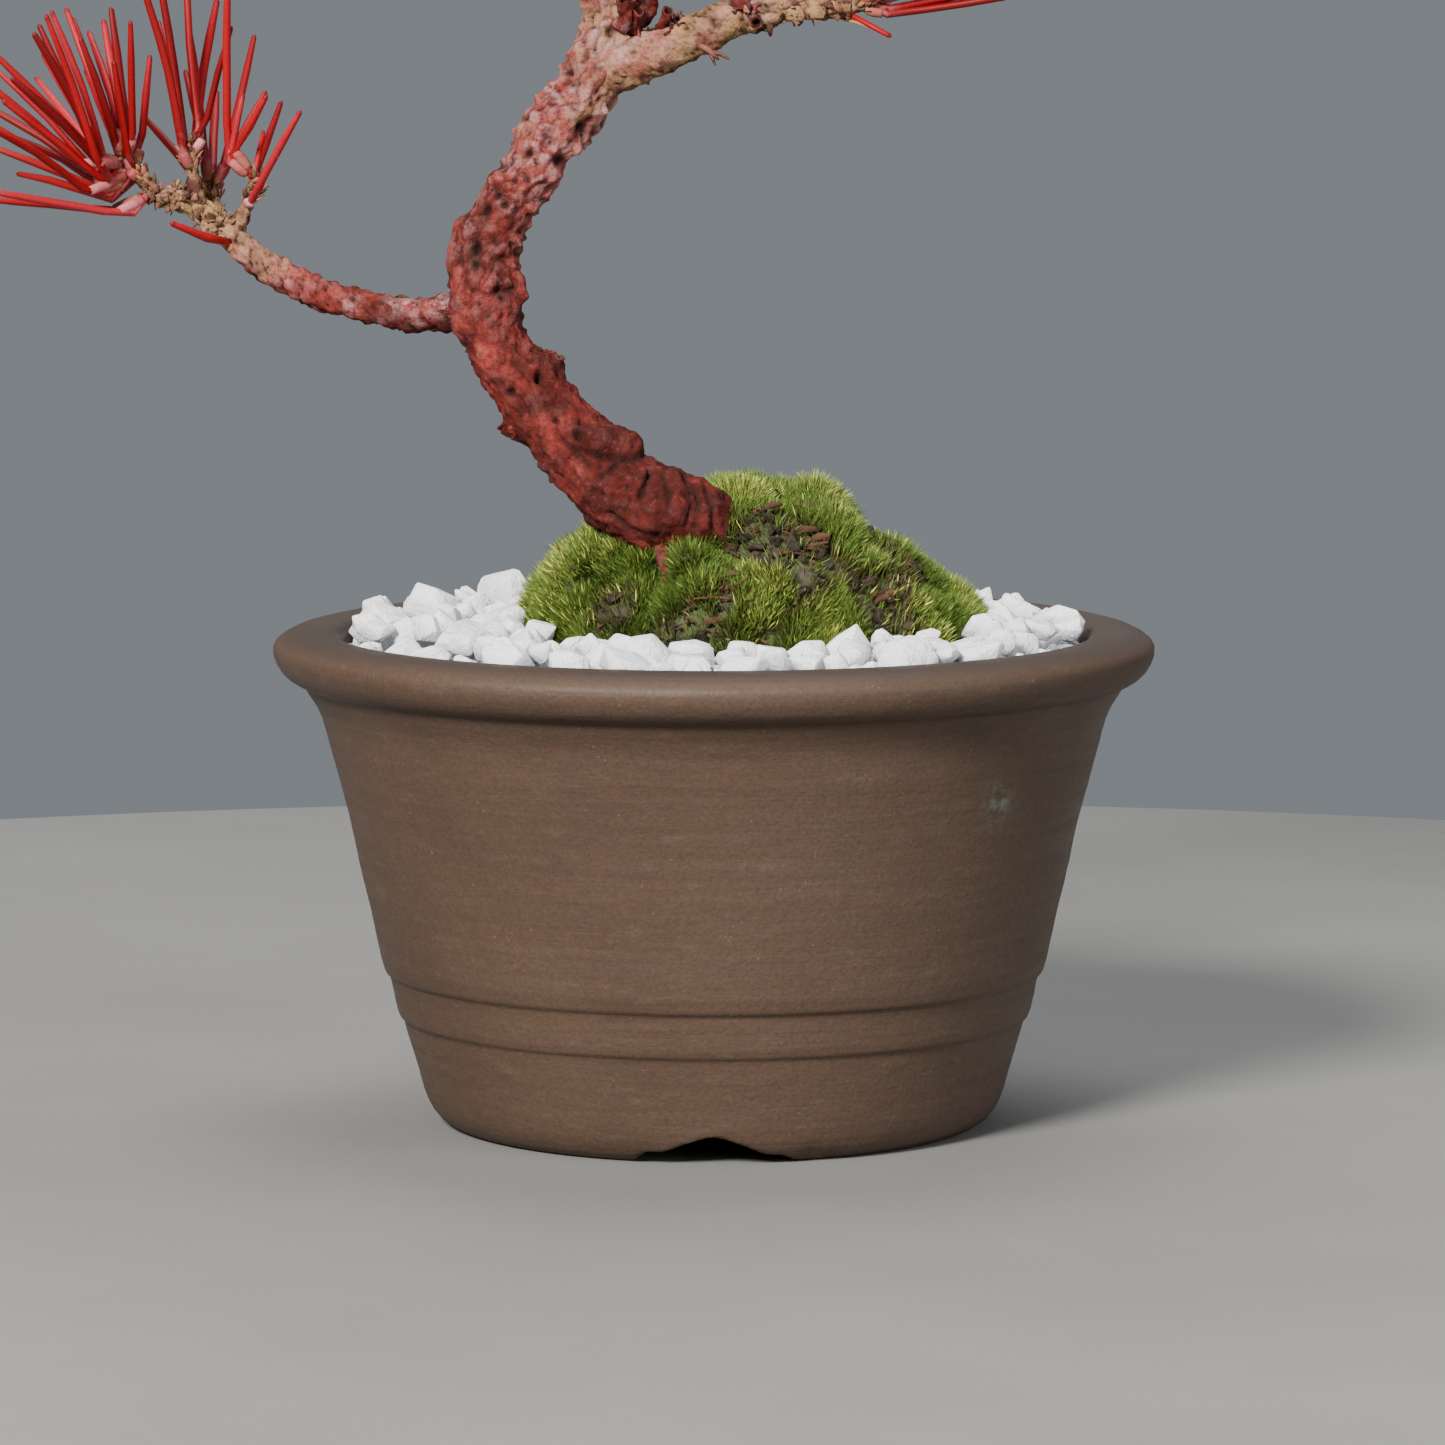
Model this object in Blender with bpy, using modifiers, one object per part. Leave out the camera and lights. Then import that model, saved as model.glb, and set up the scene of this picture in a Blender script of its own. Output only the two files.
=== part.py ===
"""A red-dyed black pine bonsai in a round unglazed pot.

Metres, +Z up. The origin is the centre of the pot's base, on the surface that the pot stands on.
The front of the tree faces -Y. Sizes in lists of points are in millimetres.
"""

import math
import random
from collections import namedtuple

import bmesh
import bpy
import numpy as np
from mathutils import Matrix, Vector, noise
from mathutils.geometry import interpolate_bezier

MM = 0.001
GAP = 0.3 * MM
WELD = 0.01 * MM

# The pot: outer radii and heights, in millimetres
RIM_RADIUS = 60.0
RIM_HEIGHT = 67.6
WIDEST_HEIGHT = 65.3
CREASE = (56.8, 60.7)
FLARE = (54.0, 57.6)
UPPER_LEDGE = (44.7, 21.2)
LOWER_LEDGE = (42.3, 14.9)
LEDGE_STEP = 1.0
LEDGE_DROP = 0.75
FOOT_RADIUS = 38.4
FOOT_RING_INNER = 32.0
FOOT_DEPTH = 4.5
FLOOR_TOP = 9.0
MOUTH_RADIUS = 51.0
DRAIN_RADIUS = 6.0
INNER_WALL = [(37.8, 13.0), (44.0, 36.0), (49.9, 58.0), (50.9, 64.0)]
POT_SIDES = 48
NOTCH_COUNT = 3
NOTCH_HALF_WIDTH = 11.3
NOTCH_HEIGHT = 1.5
ARCH_HALF_WIDTH = 5.1
ARCH_HEIGHT = 4.2

# The net over the drain hole and its wire clip, in millimetres
SCREEN_CELL = 4.5
SCREEN_CELLS = 4
SCREEN_BAR = 0.8
CLIP_RADIUS = 0.5
CLIP_LEG = SCREEN_CELL / 2
CLIP_REACH = 12.0

# The planting, in millimetres
SOIL_TOP = 60.0
SOIL_MOUND = 20.0
SOIL_SIDES = 20
MOSS_CENTRE = (5.0, 1.0)
MOSS_HALF_SIZE = (32.0, 25.5)
MOSS_EDGE_TOP = 67.2
MOSS_RISE = 19.0
MOSS_STEEPNESS = 2.2
MOSS_RINGS = 9
MOSS_SIDES = 36
MOSS_CLUMPS = [
    (-18.0, -1.0, 7.5, 5.4),
    (11.0, 7.0, 7.0, 2.6),
    (24.0, -4.0, 6.0, -1.4),
    (12.0, -14.0, 5.0, 1.6),
    (-6.0, -13.0, 5.5, 1.8),
    (-4.0, 14.0, 7.0, 1.2),
]
GRAVEL_BED_TOP = 65.8
GRAVEL_BED_RADIUS = (50.5, 49.8)
GRAVEL_BED_SIDES = 44
MOSS_MARGIN = 0.4
STONE_RADIUS = (2.9, 4.2)
STONE_TRIES = 2600
STONE_SPACING = 0.87

# The tree
BARK_RELIEF = 0.6
BARK_GRAIN = 2.8
TRUNK_SPACING = 3.4
BRANCH_SPACING = 6.0
TRUNK_SIDES_SETTING = 3
BRANCH_SIDES_SETTING = 1
CROWN_HALF_WIDTH = 102.0
CROWN_HALF_DEPTH = 58.0
CROWN_BOTTOM = 154.5
TWIG_RADIUS = (1.35, 1.15)
TWIG_COLLAR = 1.2

# The needles, in millimetres and degrees
NEEDLE_RADIUS = 0.62
NEEDLE_TIP_RADIUS = 0.34
NEEDLE_RISE = 0.12
CORE_RADIUS = (1.2, 0.9)
CORE_SWELLING = 0.25
GOLDEN_ANGLE = math.radians(137.5)
CLEARANCE = 0.45
OWN_CLEARANCE = -0.1
TIP_LEAN = 9.0
ROOT_MARGIN = (1.6, 1.4)
ROOT_DEPTH = 2.0
PLACING_TRIES = 40
NEEDLE_SEED = 2

RED_NEEDLE = (0.62, 0.02, 0.015, 1)
RED_BARK = (0.36, 0.07, 0.05, 1)

# Trunk centreline from the root stock to the tip: x, y, z, radius
TRUNK = [
    (9.0, 3.0, 46.0, 3.0),
    (9.0, 3.0, 50.0, 4.6),
    (9.0, 3.0, 56.5, 5.7),
    (8.4, 2.6, 63.5, 6.0),
    (7.0, 1.2, 69.8, 6.0),
    (4.2, -1.0, 74.6, 6.0),
    (1.3, -3.0, 78.6, 6.1),
    (-1.5, -4.5, 81.5, 6.2),
    (-5.2, -5.5, 83.5, 6.3),
    (-10.0, -5.0, 85.5, 6.3),
    (-15.2, -4.0, 90.0, 5.8),
    (-20.5, -2.0, 95.4, 5.2),
    (-24.3, -1.0, 99.8, 4.9),
    (-28.4, 0.0, 104.6, 4.5),
    (-30.6, 0.0, 109.4, 4.6),
    (-31.2, 0.0, 113.9, 4.9),
    (-31.2, 0.0, 118.7, 4.7),
    (-28.8, 0.0, 124.4, 4.3),
    (-26.4, 0.0, 128.0, 4.3),
    (-23.5, 0.0, 132.4, 4.4),
    (-19.4, 1.0, 138.2, 4.6),
    (-16.6, 1.0, 144.4, 4.5),
    (-14.9, 2.0, 149.2, 4.2),
    (-14.1, 2.4, 153.6, 4.1),
    (-13.8, 3.2, 159.0, 3.9),
    (-12.2, 4.0, 165.0, 3.7),
    (-8.7, 4.2, 171.5, 3.4),
    (-4.2, 3.2, 177.5, 3.1),
    (-0.8, 1.4, 184.0, 2.7),
    (0.8, 0.0, 190.5, 2.3),
    (0.8, -0.8, 196.5, 1.9),
    (0.3, -1.0, 201.5, 1.5),
]
BURIED_POINTS = 10

# Branch centrelines, from inside the trunk to the tip: x, y, z, radius
LEFT_LOW = [
    (-31.6, 0.0, 111.0, 2.8),
    (-37.3, 2.0, 110.4, 2.2),
    (-41.4, 4.0, 110.2, 1.9),
    (-46.8, 6.0, 111.2, 1.85),
    (-52.8, 8.5, 112.5, 1.8),
    (-58.8, 11.0, 115.0, 1.75),
    (-62.9, 12.0, 117.5, 1.7),
    (-65.5, 13.0, 119.7, 1.7),
    (-68.2, 14.0, 122.0, 1.7),
    (-70.8, 15.0, 124.0, 1.7),
    (-74.0, 15.6, 125.3, 1.6),
    (-76.4, 16.0, 125.4, 1.4),
]
RIGHT_LOW = [
    (-15.8, 1.0, 143.0, 2.9),
    (-10.0, -1.0, 145.2, 2.5),
    (-3.3, -2.0, 147.8, 2.1),
    (2.8, -3.0, 150.3, 1.9),
    (8.0, -4.2, 151.6, 1.8),
    (13.0, -5.5, 154.9, 1.6),
    (22.0, -7.0, 159.5, 1.6),
    (33.0, -8.0, 164.0, 1.5),
    (44.0, -8.0, 167.4, 1.45),
    (54.0, -7.0, 170.8, 1.4),
    (60.0, -6.0, 173.6, 1.3),
]
RIGHT_LOW_SHOOT = [
    (6.0, -3.8, 151.2, 1.6),
    (12.0, -4.8, 151.9, 1.5),
    (18.4, -5.2, 151.7, 1.25),
]
LEFT_MIDDLE = [
    (-13.6, 3.4, 160.5, 2.2),
    (-19.0, 6.0, 163.5, 1.9),
    (-28.0, 9.0, 167.5, 1.7),
    (-37.0, 11.0, 172.0, 1.6),
    (-45.0, 12.0, 177.0, 1.45),
    (-50.0, 12.5, 181.0, 1.3),
]
BACK = [
    (-11.4, 4.0, 167.0, 2.0),
    (-8.0, 10.0, 170.0, 1.8),
    (-3.0, 18.0, 173.0, 1.6),
    (3.0, 25.0, 177.0, 1.45),
    (6.0, 29.0, 180.6, 1.3),
]
FRONT = [
    (-6.4, 3.8, 174.6, 2.0),
    (-8.0, -3.0, 178.0, 1.8),
    (-11.0, -12.0, 181.0, 1.6),
    (-12.0, -20.0, 184.6, 1.4),
    (-12.0, -24.4, 187.8, 1.3),
]
RIGHT_MIDDLE = [
    (-1.0, 1.6, 183.2, 1.9),
    (6.0, 2.0, 186.0, 1.7),
    (15.0, 4.0, 189.4, 1.5),
    (24.0, 6.0, 193.4, 1.4),
    (30.0, 7.0, 197.2, 1.3),
]
LEFT_TOP = [
    (0.8, -0.1, 190.8, 1.6),
    (-5.0, 1.0, 194.0, 1.45),
    (-12.0, 1.5, 198.2, 1.35),
    (-17.0, 1.5, 202.2, 1.25),
]
BRANCHES = [LEFT_LOW, RIGHT_LOW, RIGHT_LOW_SHOOT, LEFT_MIDDLE, BACK, FRONT, RIGHT_MIDDLE, LEFT_TOP]

# Swellings of the bark: x, y, z, how wide they spread and how far they stand out
BURRS = [
    (-22.6, -1.0, 104.2, 2.6, 2.0),
    (-11.6, -5.0, 93.0, 4.2, 1.9),
    (-27.6, -1.6, 96.6, 3.4, 1.7),
    (-27.0, -0.6, 114.0, 3.4, 1.5),
    (-23.6, 0.6, 136.4, 2.8, 1.1),
    (-9.0, -10.4, 82.0, 4.0, 1.2),
    (-15.0, 3.0, 92.6, 4.0, 1.3),
    (-34.4, 2.6, 121.0, 3.0, 1.2),
    (-19.0, 4.6, 142.0, 3.0, 1.2),
    (-35.4, 0.0, 110.5, 3.2, 1.0),
]

# Stubs of cut shoots: foot x, y, z, then end x, y, z, then radius
STUBS = [
    (-13.2, -0.4, 146.0, -9.6, -2.4, 152.6, 1.2),
    (-12.6, 1.6, 147.0, -7.2, 0.6, 152.4, 1.3),
    (-13.6, 0.4, 149.0, -8.6, 3.0, 155.4, 1.1),
    (5.0, -3.6, 150.8, 5.6, -6.8, 149.2, 1.15),
    (-2.4, -2.2, 147.2, 1.8, -3.4, 144.6, 0.8),
    (10.0, -4.6, 152.0, 10.6, -6.6, 150.0, 1.0),
    (-64.6, 12.6, 119.0, -63.4, 11.0, 121.6, 0.8),
]

# A spray: its name, where its twig leaves the branch (None at a branch's own end), where its
# core starts, which way the core points, core length, number of needles, needle length, and
# how far the lowest needles lean out from the core, in degrees
Spray = namedtuple("Spray", "name root base axis core needles length lean")

SPRAYS = [
    Spray("left_low_tip", None, LEFT_LOW[-1][:3], (-0.66, -0.02, 0.75), 11.0, 32, 31.0, 40),
    Spray("left_low_inner", LEFT_LOW[9][:3], (-71.6, 14.4, 128.6), (-0.1, -0.12, 1.0), 7.0, 11, 31.0, 26),
    Spray("left_low_side", (-65.9, 13.2, 120.2), (-64.2, 13.4, 124.2), (0.42, -0.05, 0.9), 6.0, 8, 17.0, 16),
    Spray("left_low_back", (-68.4, 14.1, 122.3), (-68.6, 18.4, 124.2), (-0.3, 0.66, 0.68), 7.0, 12, 24.0, 38),
    Spray("right_low_shoot", None, RIGHT_LOW_SHOOT[-1][:3], (0.88, -0.1, 0.46), 6.0, 11, 24.0, 26),
    Spray("right_low_tip", None, RIGHT_LOW[-1][:3], (0.85, 0.0, 0.52), 11.0, 27, 37.0, 62),
    Spray("right_low_front", RIGHT_LOW[8][:3], (45.5, -12.6, 170.6), (0.4, -0.6, 0.7), 8.5, 19, 29.0, 58),
    Spray("right_low_back", (31.0, -7.9, 163.2), (31.6, -3.6, 166.8), (0.1, 0.62, 0.78), 8.5, 19, 29.0, 58),
    Spray("left_middle_tip", None, LEFT_MIDDLE[-1][:3], (-0.62, 0.1, 0.78), 11.0, 25, 31.0, 62),
    Spray("left_middle_back", LEFT_MIDDLE[3][:3], (-38.4, 15.4, 174.6), (-0.3, 0.66, 0.7), 8.5, 19, 28.0, 58),
    Spray("left_middle_front", LEFT_MIDDLE[2][:3], (-28.6, 4.4, 170.4), (-0.4, -0.6, 0.7), 8.5, 19, 28, 58),
    Spray("back_tip", None, BACK[-1][:3], (0.15, 0.6, 0.78), 10.0, 23, 28.0, 60),
    Spray("back_side", BACK[2][:3], (-6.8, 20.4, 175.8), (-0.55, 0.4, 0.75), 8.5, 18, 27.0, 56),
    Spray("front_tip", None, FRONT[-1][:3], (0.0, -0.58, 0.8), 10.0, 23, 28.0, 60),
    Spray("front_side", (-10.6, -11.0, 180.7), (-15.0, -12.6, 183.2), (-0.62, -0.2, 0.75), 8.5, 18, 27.0, 56),
    Spray("right_middle_tip", None, RIGHT_MIDDLE[-1][:3], (0.66, 0.1, 0.74), 11.0, 24, 30.0, 60),
    Spray("right_middle_back", RIGHT_MIDDLE[2][:3], (16.4, 8.4, 192.0), (0.2, 0.66, 0.72), 8.5, 18, 27.0, 56),
    Spray("right_middle_front", (12.0, 3.3, 188.2), (14.0, -1.0, 191.0), (0.4, -0.6, 0.7), 8.5, 18, 27, 56),
    Spray("left_top", None, LEFT_TOP[-1][:3], (-0.6, 0.05, 0.8), 10.0, 22, 28.0, 58),
    Spray("apex_side", (0.8, -0.6, 195.4), (4.8, -3.0, 199.2), (0.52, -0.4, 0.76), 8.5, 18, 26.0, 56),
    Spray("apex", None, TRUNK[-1][:3], (0.0, 0.05, 1.0), 12.0, 26, 28.0, 62),
]


def clear_scene():
    """Start from an empty scene, with one collection for the parts and one for the cutters."""
    for item in list(bpy.data.objects):
        bpy.data.objects.remove(item, do_unlink=True)
    parts = bpy.data.collections.new("pine_bonsai")
    cutters = bpy.data.collections.new("cutters")
    for group in (parts, cutters):
        bpy.context.scene.collection.children.link(group)
    return parts, cutters


def material(name, colour, roughness, metallic=0.0):
    """A plain Principled material."""
    made = bpy.data.materials.new(name)
    made.use_nodes = True
    shader = made.node_tree.nodes["Principled BSDF"]
    shader.inputs["Base Color"].default_value = colour
    shader.inputs["Roughness"].default_value = roughness
    shader.inputs["Metallic"].default_value = metallic
    return made


def add_object(name, mesh, group):
    """Put a mesh or a curve in the scene as an object."""
    made = bpy.data.objects.new(name, mesh)
    group.objects.link(made)
    return made


def mesh_from(name, build):
    """A mesh made by a function that works on a bmesh."""
    work = bmesh.new()
    build(work)
    mesh = bpy.data.meshes.new(name)
    work.to_mesh(mesh)
    work.free()
    return mesh


def evaluated_mesh(item):
    """The mesh that an object's curve settings or modifiers make."""
    depsgraph = bpy.context.evaluated_depsgraph_get()
    return bpy.data.meshes.new_from_object(item.evaluated_get(depsgraph))


def mesh_of_curve(item):
    """A curve object's mesh, with its loose caps welded on."""
    mesh = evaluated_mesh(item)
    work = bmesh.new()
    work.from_mesh(mesh)
    bmesh.ops.remove_doubles(work, verts=work.verts, dist=WELD)
    work.to_mesh(mesh)
    work.free()
    return mesh


def apply_modifiers(item):
    """Keep the shape that the modifiers make, as the object's own mesh."""
    mesh = evaluated_mesh(item)
    item.modifiers.clear()
    item.data = mesh


def as_cutter(item):
    item.hide_render = True
    item.display_type = "WIRE"
    return item


def cut(item, cutter):
    """Cut one solid out of another."""
    boolean = item.modifiers.new("cut", "BOOLEAN")
    boolean.operation = "DIFFERENCE"
    boolean.object = cutter


def drop_small_shells(mesh):
    """Keep only the largest connected shell: a sealed hollow is filled and a scrap is dropped."""
    work = bmesh.new()
    work.from_mesh(mesh)
    unseen = set(work.verts)
    shells = []
    while unseen:
        front = [unseen.pop()]
        shell = list(front)
        while front:
            vertex = front.pop()
            for edge in vertex.link_edges:
                other = edge.other_vert(vertex)
                if other in unseen:
                    unseen.remove(other)
                    front.append(other)
                    shell.append(other)
        shells.append(shell)
    shells.sort(key=len)
    for shell in shells[:-1]:
        bmesh.ops.delete(work, geom=shell, context="VERTS")
    work.to_mesh(mesh)
    work.free()


def fuse(body, pieces):
    """Join a body and its repeats into one solid."""
    group = bpy.data.collections.new("repeats")
    bpy.context.scene.collection.children.link(group)
    for piece in pieces:
        group.objects.link(piece)
    union = body.modifiers.new("fuse", "BOOLEAN")
    union.operation = "UNION"
    union.operand_type = "COLLECTION"
    union.collection = group
    apply_modifiers(body)
    for piece in pieces:
        bpy.data.objects.remove(piece, do_unlink=True)
    bpy.data.collections.remove(group)
    drop_small_shells(body.data)


def shade(item, angle=35):
    """Smooth shading with sharp edges kept."""
    item.data.shade_smooth()
    item.data.set_sharp_from_angle(angle=math.radians(angle))


def turned(name, profile, sides, group):
    """A turned solid from its outline, given as radius and height in millimetres.

    The outline runs down the outer side. Its ends lie on the axis, or it closes on itself.
    """
    work = bmesh.new()
    corners = [work.verts.new((radius * MM, 0, height * MM)) for radius, height in profile]
    for first, second in zip(corners, corners[1:]):
        work.edges.new((first, second))
    if profile[0][0] > 0:
        work.edges.new((corners[-1], corners[0]))
    mesh = bpy.data.meshes.new(name)
    work.to_mesh(mesh)
    work.free()
    item = add_object(name, mesh, group)
    screw = item.modifiers.new("turn", "SCREW")
    screw.steps = screw.render_steps = sides
    screw.use_merge_vertices = True
    screw.merge_threshold = 0.0001
    apply_modifiers(item)
    return item


def arc(start, start_handle, end_handle, end, steps):
    """Points on a curved stretch of an outline, without its end point."""
    knots = [Vector((radius, height, 0)) for radius, height in (start, start_handle, end_handle, end)]
    return [(point.x, point.y) for point in interpolate_bezier(*knots, steps + 1)][:-1]


def smooth_route(points, spacing):
    """A smooth line through points of x, y, z and radius, in metres, with about even spacing."""
    rows = np.array(points) * MM
    rows = np.vstack([2 * rows[0] - rows[1], rows, 2 * rows[-1] - rows[-2]])
    route = []
    for k in range(1, len(rows) - 2):
        before, start, end, after = rows[k - 1 : k + 3]
        steps = max(1, round(float(np.linalg.norm(end[:3] - start[:3])) / (spacing * MM)))
        for step in range(steps):
            t = step / steps
            bend = 2 * before - 5 * start + 4 * end - after
            twist = 3 * start - before - 3 * end + after
            route.append(start + 0.5 * t * ((end - before) + t * (bend + t * twist)))
    route.append(rows[-2])
    return route


def tube(name, route, sides_setting, group):
    """A closed tube along a route of x, y, z and radius, in metres."""
    curve = bpy.data.curves.new(name, "CURVE")
    curve.dimensions = "3D"
    curve.bevel_depth = MM
    curve.bevel_resolution = sides_setting
    curve.use_fill_caps = True
    spline = curve.splines.new("POLY")
    spline.points.add(len(route) - 1)
    for point, (x, y, z, radius) in zip(spline.points, route):
        point.co = (x, y, z, 1)
        point.radius = radius / MM
    holder = add_object(name, curve, group)
    item = add_object(name + "_mesh", mesh_of_curve(holder), group)
    bpy.data.objects.remove(holder, do_unlink=True)
    item.name = name
    return item


def pot_inner_wall(offset):
    """The inside of the pot from its floor to its mouth: radius and height."""
    fillet = arc((33.0, FLOOR_TOP), (35.8, FLOOR_TOP), (37.2, 10.2), INNER_WALL[0], 2)
    return [(radius - offset, height) for radius, height in fillet + INNER_WALL]


def inner_radius(height):
    """The pot's inner radius at a height above its floor fillet."""
    radii, heights = zip(*INNER_WALL)
    return float(np.interp(height, heights, radii))


def pot_outline():
    """The pot's whole section, from its mouth down the outside and back up the inside."""
    mouth = (MOUTH_RADIUS, RIM_HEIGHT - 1.0)
    rim = (RIM_RADIUS, WIDEST_HEIGHT)
    crown = (RIM_RADIUS - 5.6, RIM_HEIGHT)
    outline = arc(mouth, (MOUTH_RADIUS + 0.9, RIM_HEIGHT - 0.1), (crown[0] - 2, crown[1] + 0.1), crown, 2)
    outline += arc(crown, (crown[0] + 3, crown[1]), (rim[0], rim[1] + 1.4), rim, 2)
    outline += arc(rim, (rim[0], rim[1] - 2.4), (CREASE[0] + 2.0, CREASE[1] + 0.1), CREASE, 3)
    outline.append(CREASE)
    outline += arc(FLARE, (50.6, 47.0), (47.3, 33.0), UPPER_LEDGE, 3)
    for radius, height in (UPPER_LEDGE, LOWER_LEDGE):
        outline.append((radius, height))
        outline.append((radius - LEDGE_STEP, height - LEDGE_DROP))
    outline.append((FOOT_RADIUS + 1.6, 7.9))
    outline.append((FOOT_RADIUS, 2.2))
    outline.append((FOOT_RADIUS - 0.5, 0.6))
    outline.append((FOOT_RADIUS - 1.6, 0))
    outline.append((FOOT_RING_INNER, 0))
    outline.append((FOOT_RING_INNER - 1.6, FOOT_DEPTH))
    outline.append((DRAIN_RADIUS, FOOT_DEPTH))
    outline.append((DRAIN_RADIUS, FLOOR_TOP))
    outline += pot_inner_wall(0)
    return outline


def notch_cutter(name, turn, cutters):
    """One foot notch: a shallow bracket with a small arch in its middle."""
    samples = 8
    side = NOTCH_HALF_WIDTH
    outline = [(-side, -2.0), (side, -2.0), (side, 0.0), (side - 1.6, NOTCH_HEIGHT * 0.8)]
    for k in range(samples + 1):
        turn_in_arch = math.pi * k / samples
        height = NOTCH_HEIGHT + (ARCH_HEIGHT - NOTCH_HEIGHT) * math.sin(turn_in_arch) ** 1.8
        outline.append((ARCH_HALF_WIDTH * math.cos(turn_in_arch), height))
    outline += [(1.6 - side, NOTCH_HEIGHT * 0.8), (-side, 0.0)]
    curve = bpy.data.curves.new(name, "CURVE")
    curve.dimensions = "2D"
    curve.fill_mode = "BOTH"
    curve.extrude = 7 * MM
    spline = curve.splines.new("POLY")
    spline.points.add(len(outline) - 1)
    for point, (across, height) in zip(spline.points, outline):
        point.co = (across * MM, height * MM, 0, 1)
    spline.use_cyclic_u = True
    holder = add_object(name, curve, cutters)
    item = add_object(name + "_cutter", mesh_of_curve(holder), cutters)
    bpy.data.objects.remove(holder, do_unlink=True)
    upright = Matrix.Rotation(math.pi / 2, 4, "X")
    outward = Matrix.Translation((0, -(FOOT_RADIUS - 2) * MM, 0))
    item.matrix_world = Matrix.Rotation(turn, 4, "Z") @ outward @ upright
    return as_cutter(item)


def make_pot(parts, cutters):
    pot = turned("pot", pot_outline(), POT_SIDES, parts)
    for k in range(NOTCH_COUNT):
        cut(pot, notch_cutter(f"foot_notch_{k}", 2 * math.pi * k / NOTCH_COUNT, cutters))
    pot.data.materials.append(material("unglazed_clay", (0.16, 0.105, 0.07, 1), 0.75))
    shade(pot)


def make_drain_screen(parts):
    """A square plastic net that lies on the pot's floor over the drain hole."""
    half = SCREEN_CELL * SCREEN_CELLS / 2 * MM

    def build(work):
        bmesh.ops.create_grid(work, x_segments=SCREEN_CELLS, y_segments=SCREEN_CELLS, size=half)

    screen = add_object("drain_screen", mesh_from("drain_screen", build), parts)
    screen.location.z = FLOOR_TOP * MM + GAP + SCREEN_BAR / 2 * MM
    lattice = screen.modifiers.new("net", "WIREFRAME")
    lattice.thickness = SCREEN_BAR * MM
    lattice.use_boundary = True
    lattice.use_even_offset = False
    screen.data.materials.append(material("black_plastic", (0.02, 0.02, 0.02, 1), 0.5))


def make_screen_clip(parts):
    """A bent wire whose legs go down through the net and the drain hole and turn outward."""
    top = FLOOR_TOP + 2 * GAP / MM + SCREEN_BAR + CLIP_RADIUS
    under = FOOT_DEPTH - GAP / MM - CLIP_RADIUS
    bend = 1.0
    side = [
        (CLIP_REACH, under),
        (CLIP_LEG + bend, under),
        (CLIP_LEG, under + bend),
        (CLIP_LEG, top - bend),
        (CLIP_LEG - bend, top),
    ]
    corners = side + [(-across, height) for across, height in reversed(side)]
    route = [(across * MM, CLIP_LEG * MM, height * MM, CLIP_RADIUS * MM) for across, height in corners]
    clip = tube("screen_clip", route, 2, parts)
    clip.data.materials.append(material("wire", (0.55, 0.5, 0.45, 1), 0.4, 1.0))
    shade(clip)


def dome(share, foot, rise):
    """Height of a mound at a share of its half width, in millimetres."""
    return foot + rise * (1 - share**MOSS_STEEPNESS)


def mound_place(radius, turn_x, turn_y):
    """A point of the planting mound's ellipse, in metres, from a radius share and a direction."""
    return (
        (MOSS_CENTRE[0] + MOSS_HALF_SIZE[0] * radius * turn_x) * MM,
        (MOSS_CENTRE[1] + MOSS_HALF_SIZE[1] * radius * turn_y) * MM,
    )


def stretch_to_mound(mesh):
    """Move a turned solid of radius 1 mm to the mound's place and stretch it to its ellipse."""
    for vertex in mesh.vertices:
        x, y = vertex.co.x / MM, vertex.co.y / MM
        vertex.co.x, vertex.co.y = mound_place(1.0, x, y)


def trunk_cutter(name, cutters):
    """The hole that the lower trunk and root stock stand in."""
    spare = BARK_RELIEF * MM + GAP
    route = smooth_route(TRUNK[: BURIED_POINTS + 2], TRUNK_SPACING)
    wider = [(x, y, z, radius + spare) for x, y, z, radius in route]
    low_x, low_y, low_z, low_radius = wider[0]
    wider.insert(0, (low_x, low_y, low_z - spare, low_radius))
    return as_cutter(tube(name, wider, TRUNK_SIDES_SETTING, cutters))


def make_soil(parts, cutters):
    """Soil that fills the pot, with a mound, a hole for the trunk and room for the net."""
    wall = pot_inner_wall(GAP / MM)
    bottom = FLOOR_TOP + GAP / MM
    low_corners = [(radius, max(height, bottom)) for radius, height in wall if height < SOIL_TOP]
    edge = (inner_radius(SOIL_TOP) - GAP / MM, SOIL_TOP)
    profile = [(0, SOIL_TOP), edge] + low_corners[::-1] + [(0, bottom)]
    soil = turned("soil", profile, SOIL_SIDES, parts)
    rings = 3
    heap = [(k / rings, dome(k / rings, SOIL_TOP, SOIL_MOUND)) for k in range(rings + 1)]
    mound = turned("soil_mound", heap + [(1.0, SOIL_TOP - 2), (0, SOIL_TOP - 2)], SOIL_SIDES, parts)
    stretch_to_mound(mound.data)
    fuse(soil, [mound])
    cut(soil, trunk_cutter("soil_hole", cutters))
    half = SCREEN_CELL * SCREEN_CELLS / 2 + SCREEN_BAR
    height = SCREEN_BAR + 2 * CLIP_RADIUS + 3 * GAP / MM

    def build(work):
        bmesh.ops.create_cube(work, size=1.0)
        bmesh.ops.scale(work, vec=(2 * half * MM, 2 * half * MM, 2 * height * MM), verts=work.verts)

    room = add_object("net_room", mesh_from("net_room", build), cutters)
    room.location.z = FLOOR_TOP * MM
    cut(soil, as_cutter(room))
    soil.data.materials.append(material("soil", (0.07, 0.05, 0.035, 1), 0.95))
    shade(soil)


def moss_clumps(x, y):
    """How far the moss stands above its plain dome at a place, in millimetres."""
    height = 2.6 * noise.noise(Vector((x, y, 0)) / 6.5) + 0.8 * noise.noise(Vector((x, y, 9)) / 3.0)
    for centre_x, centre_y, width, rise in MOSS_CLUMPS:
        distance = ((x - centre_x) ** 2 + (y - centre_y) ** 2) / width**2
        height += rise * math.exp(-distance)
    return height


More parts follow.
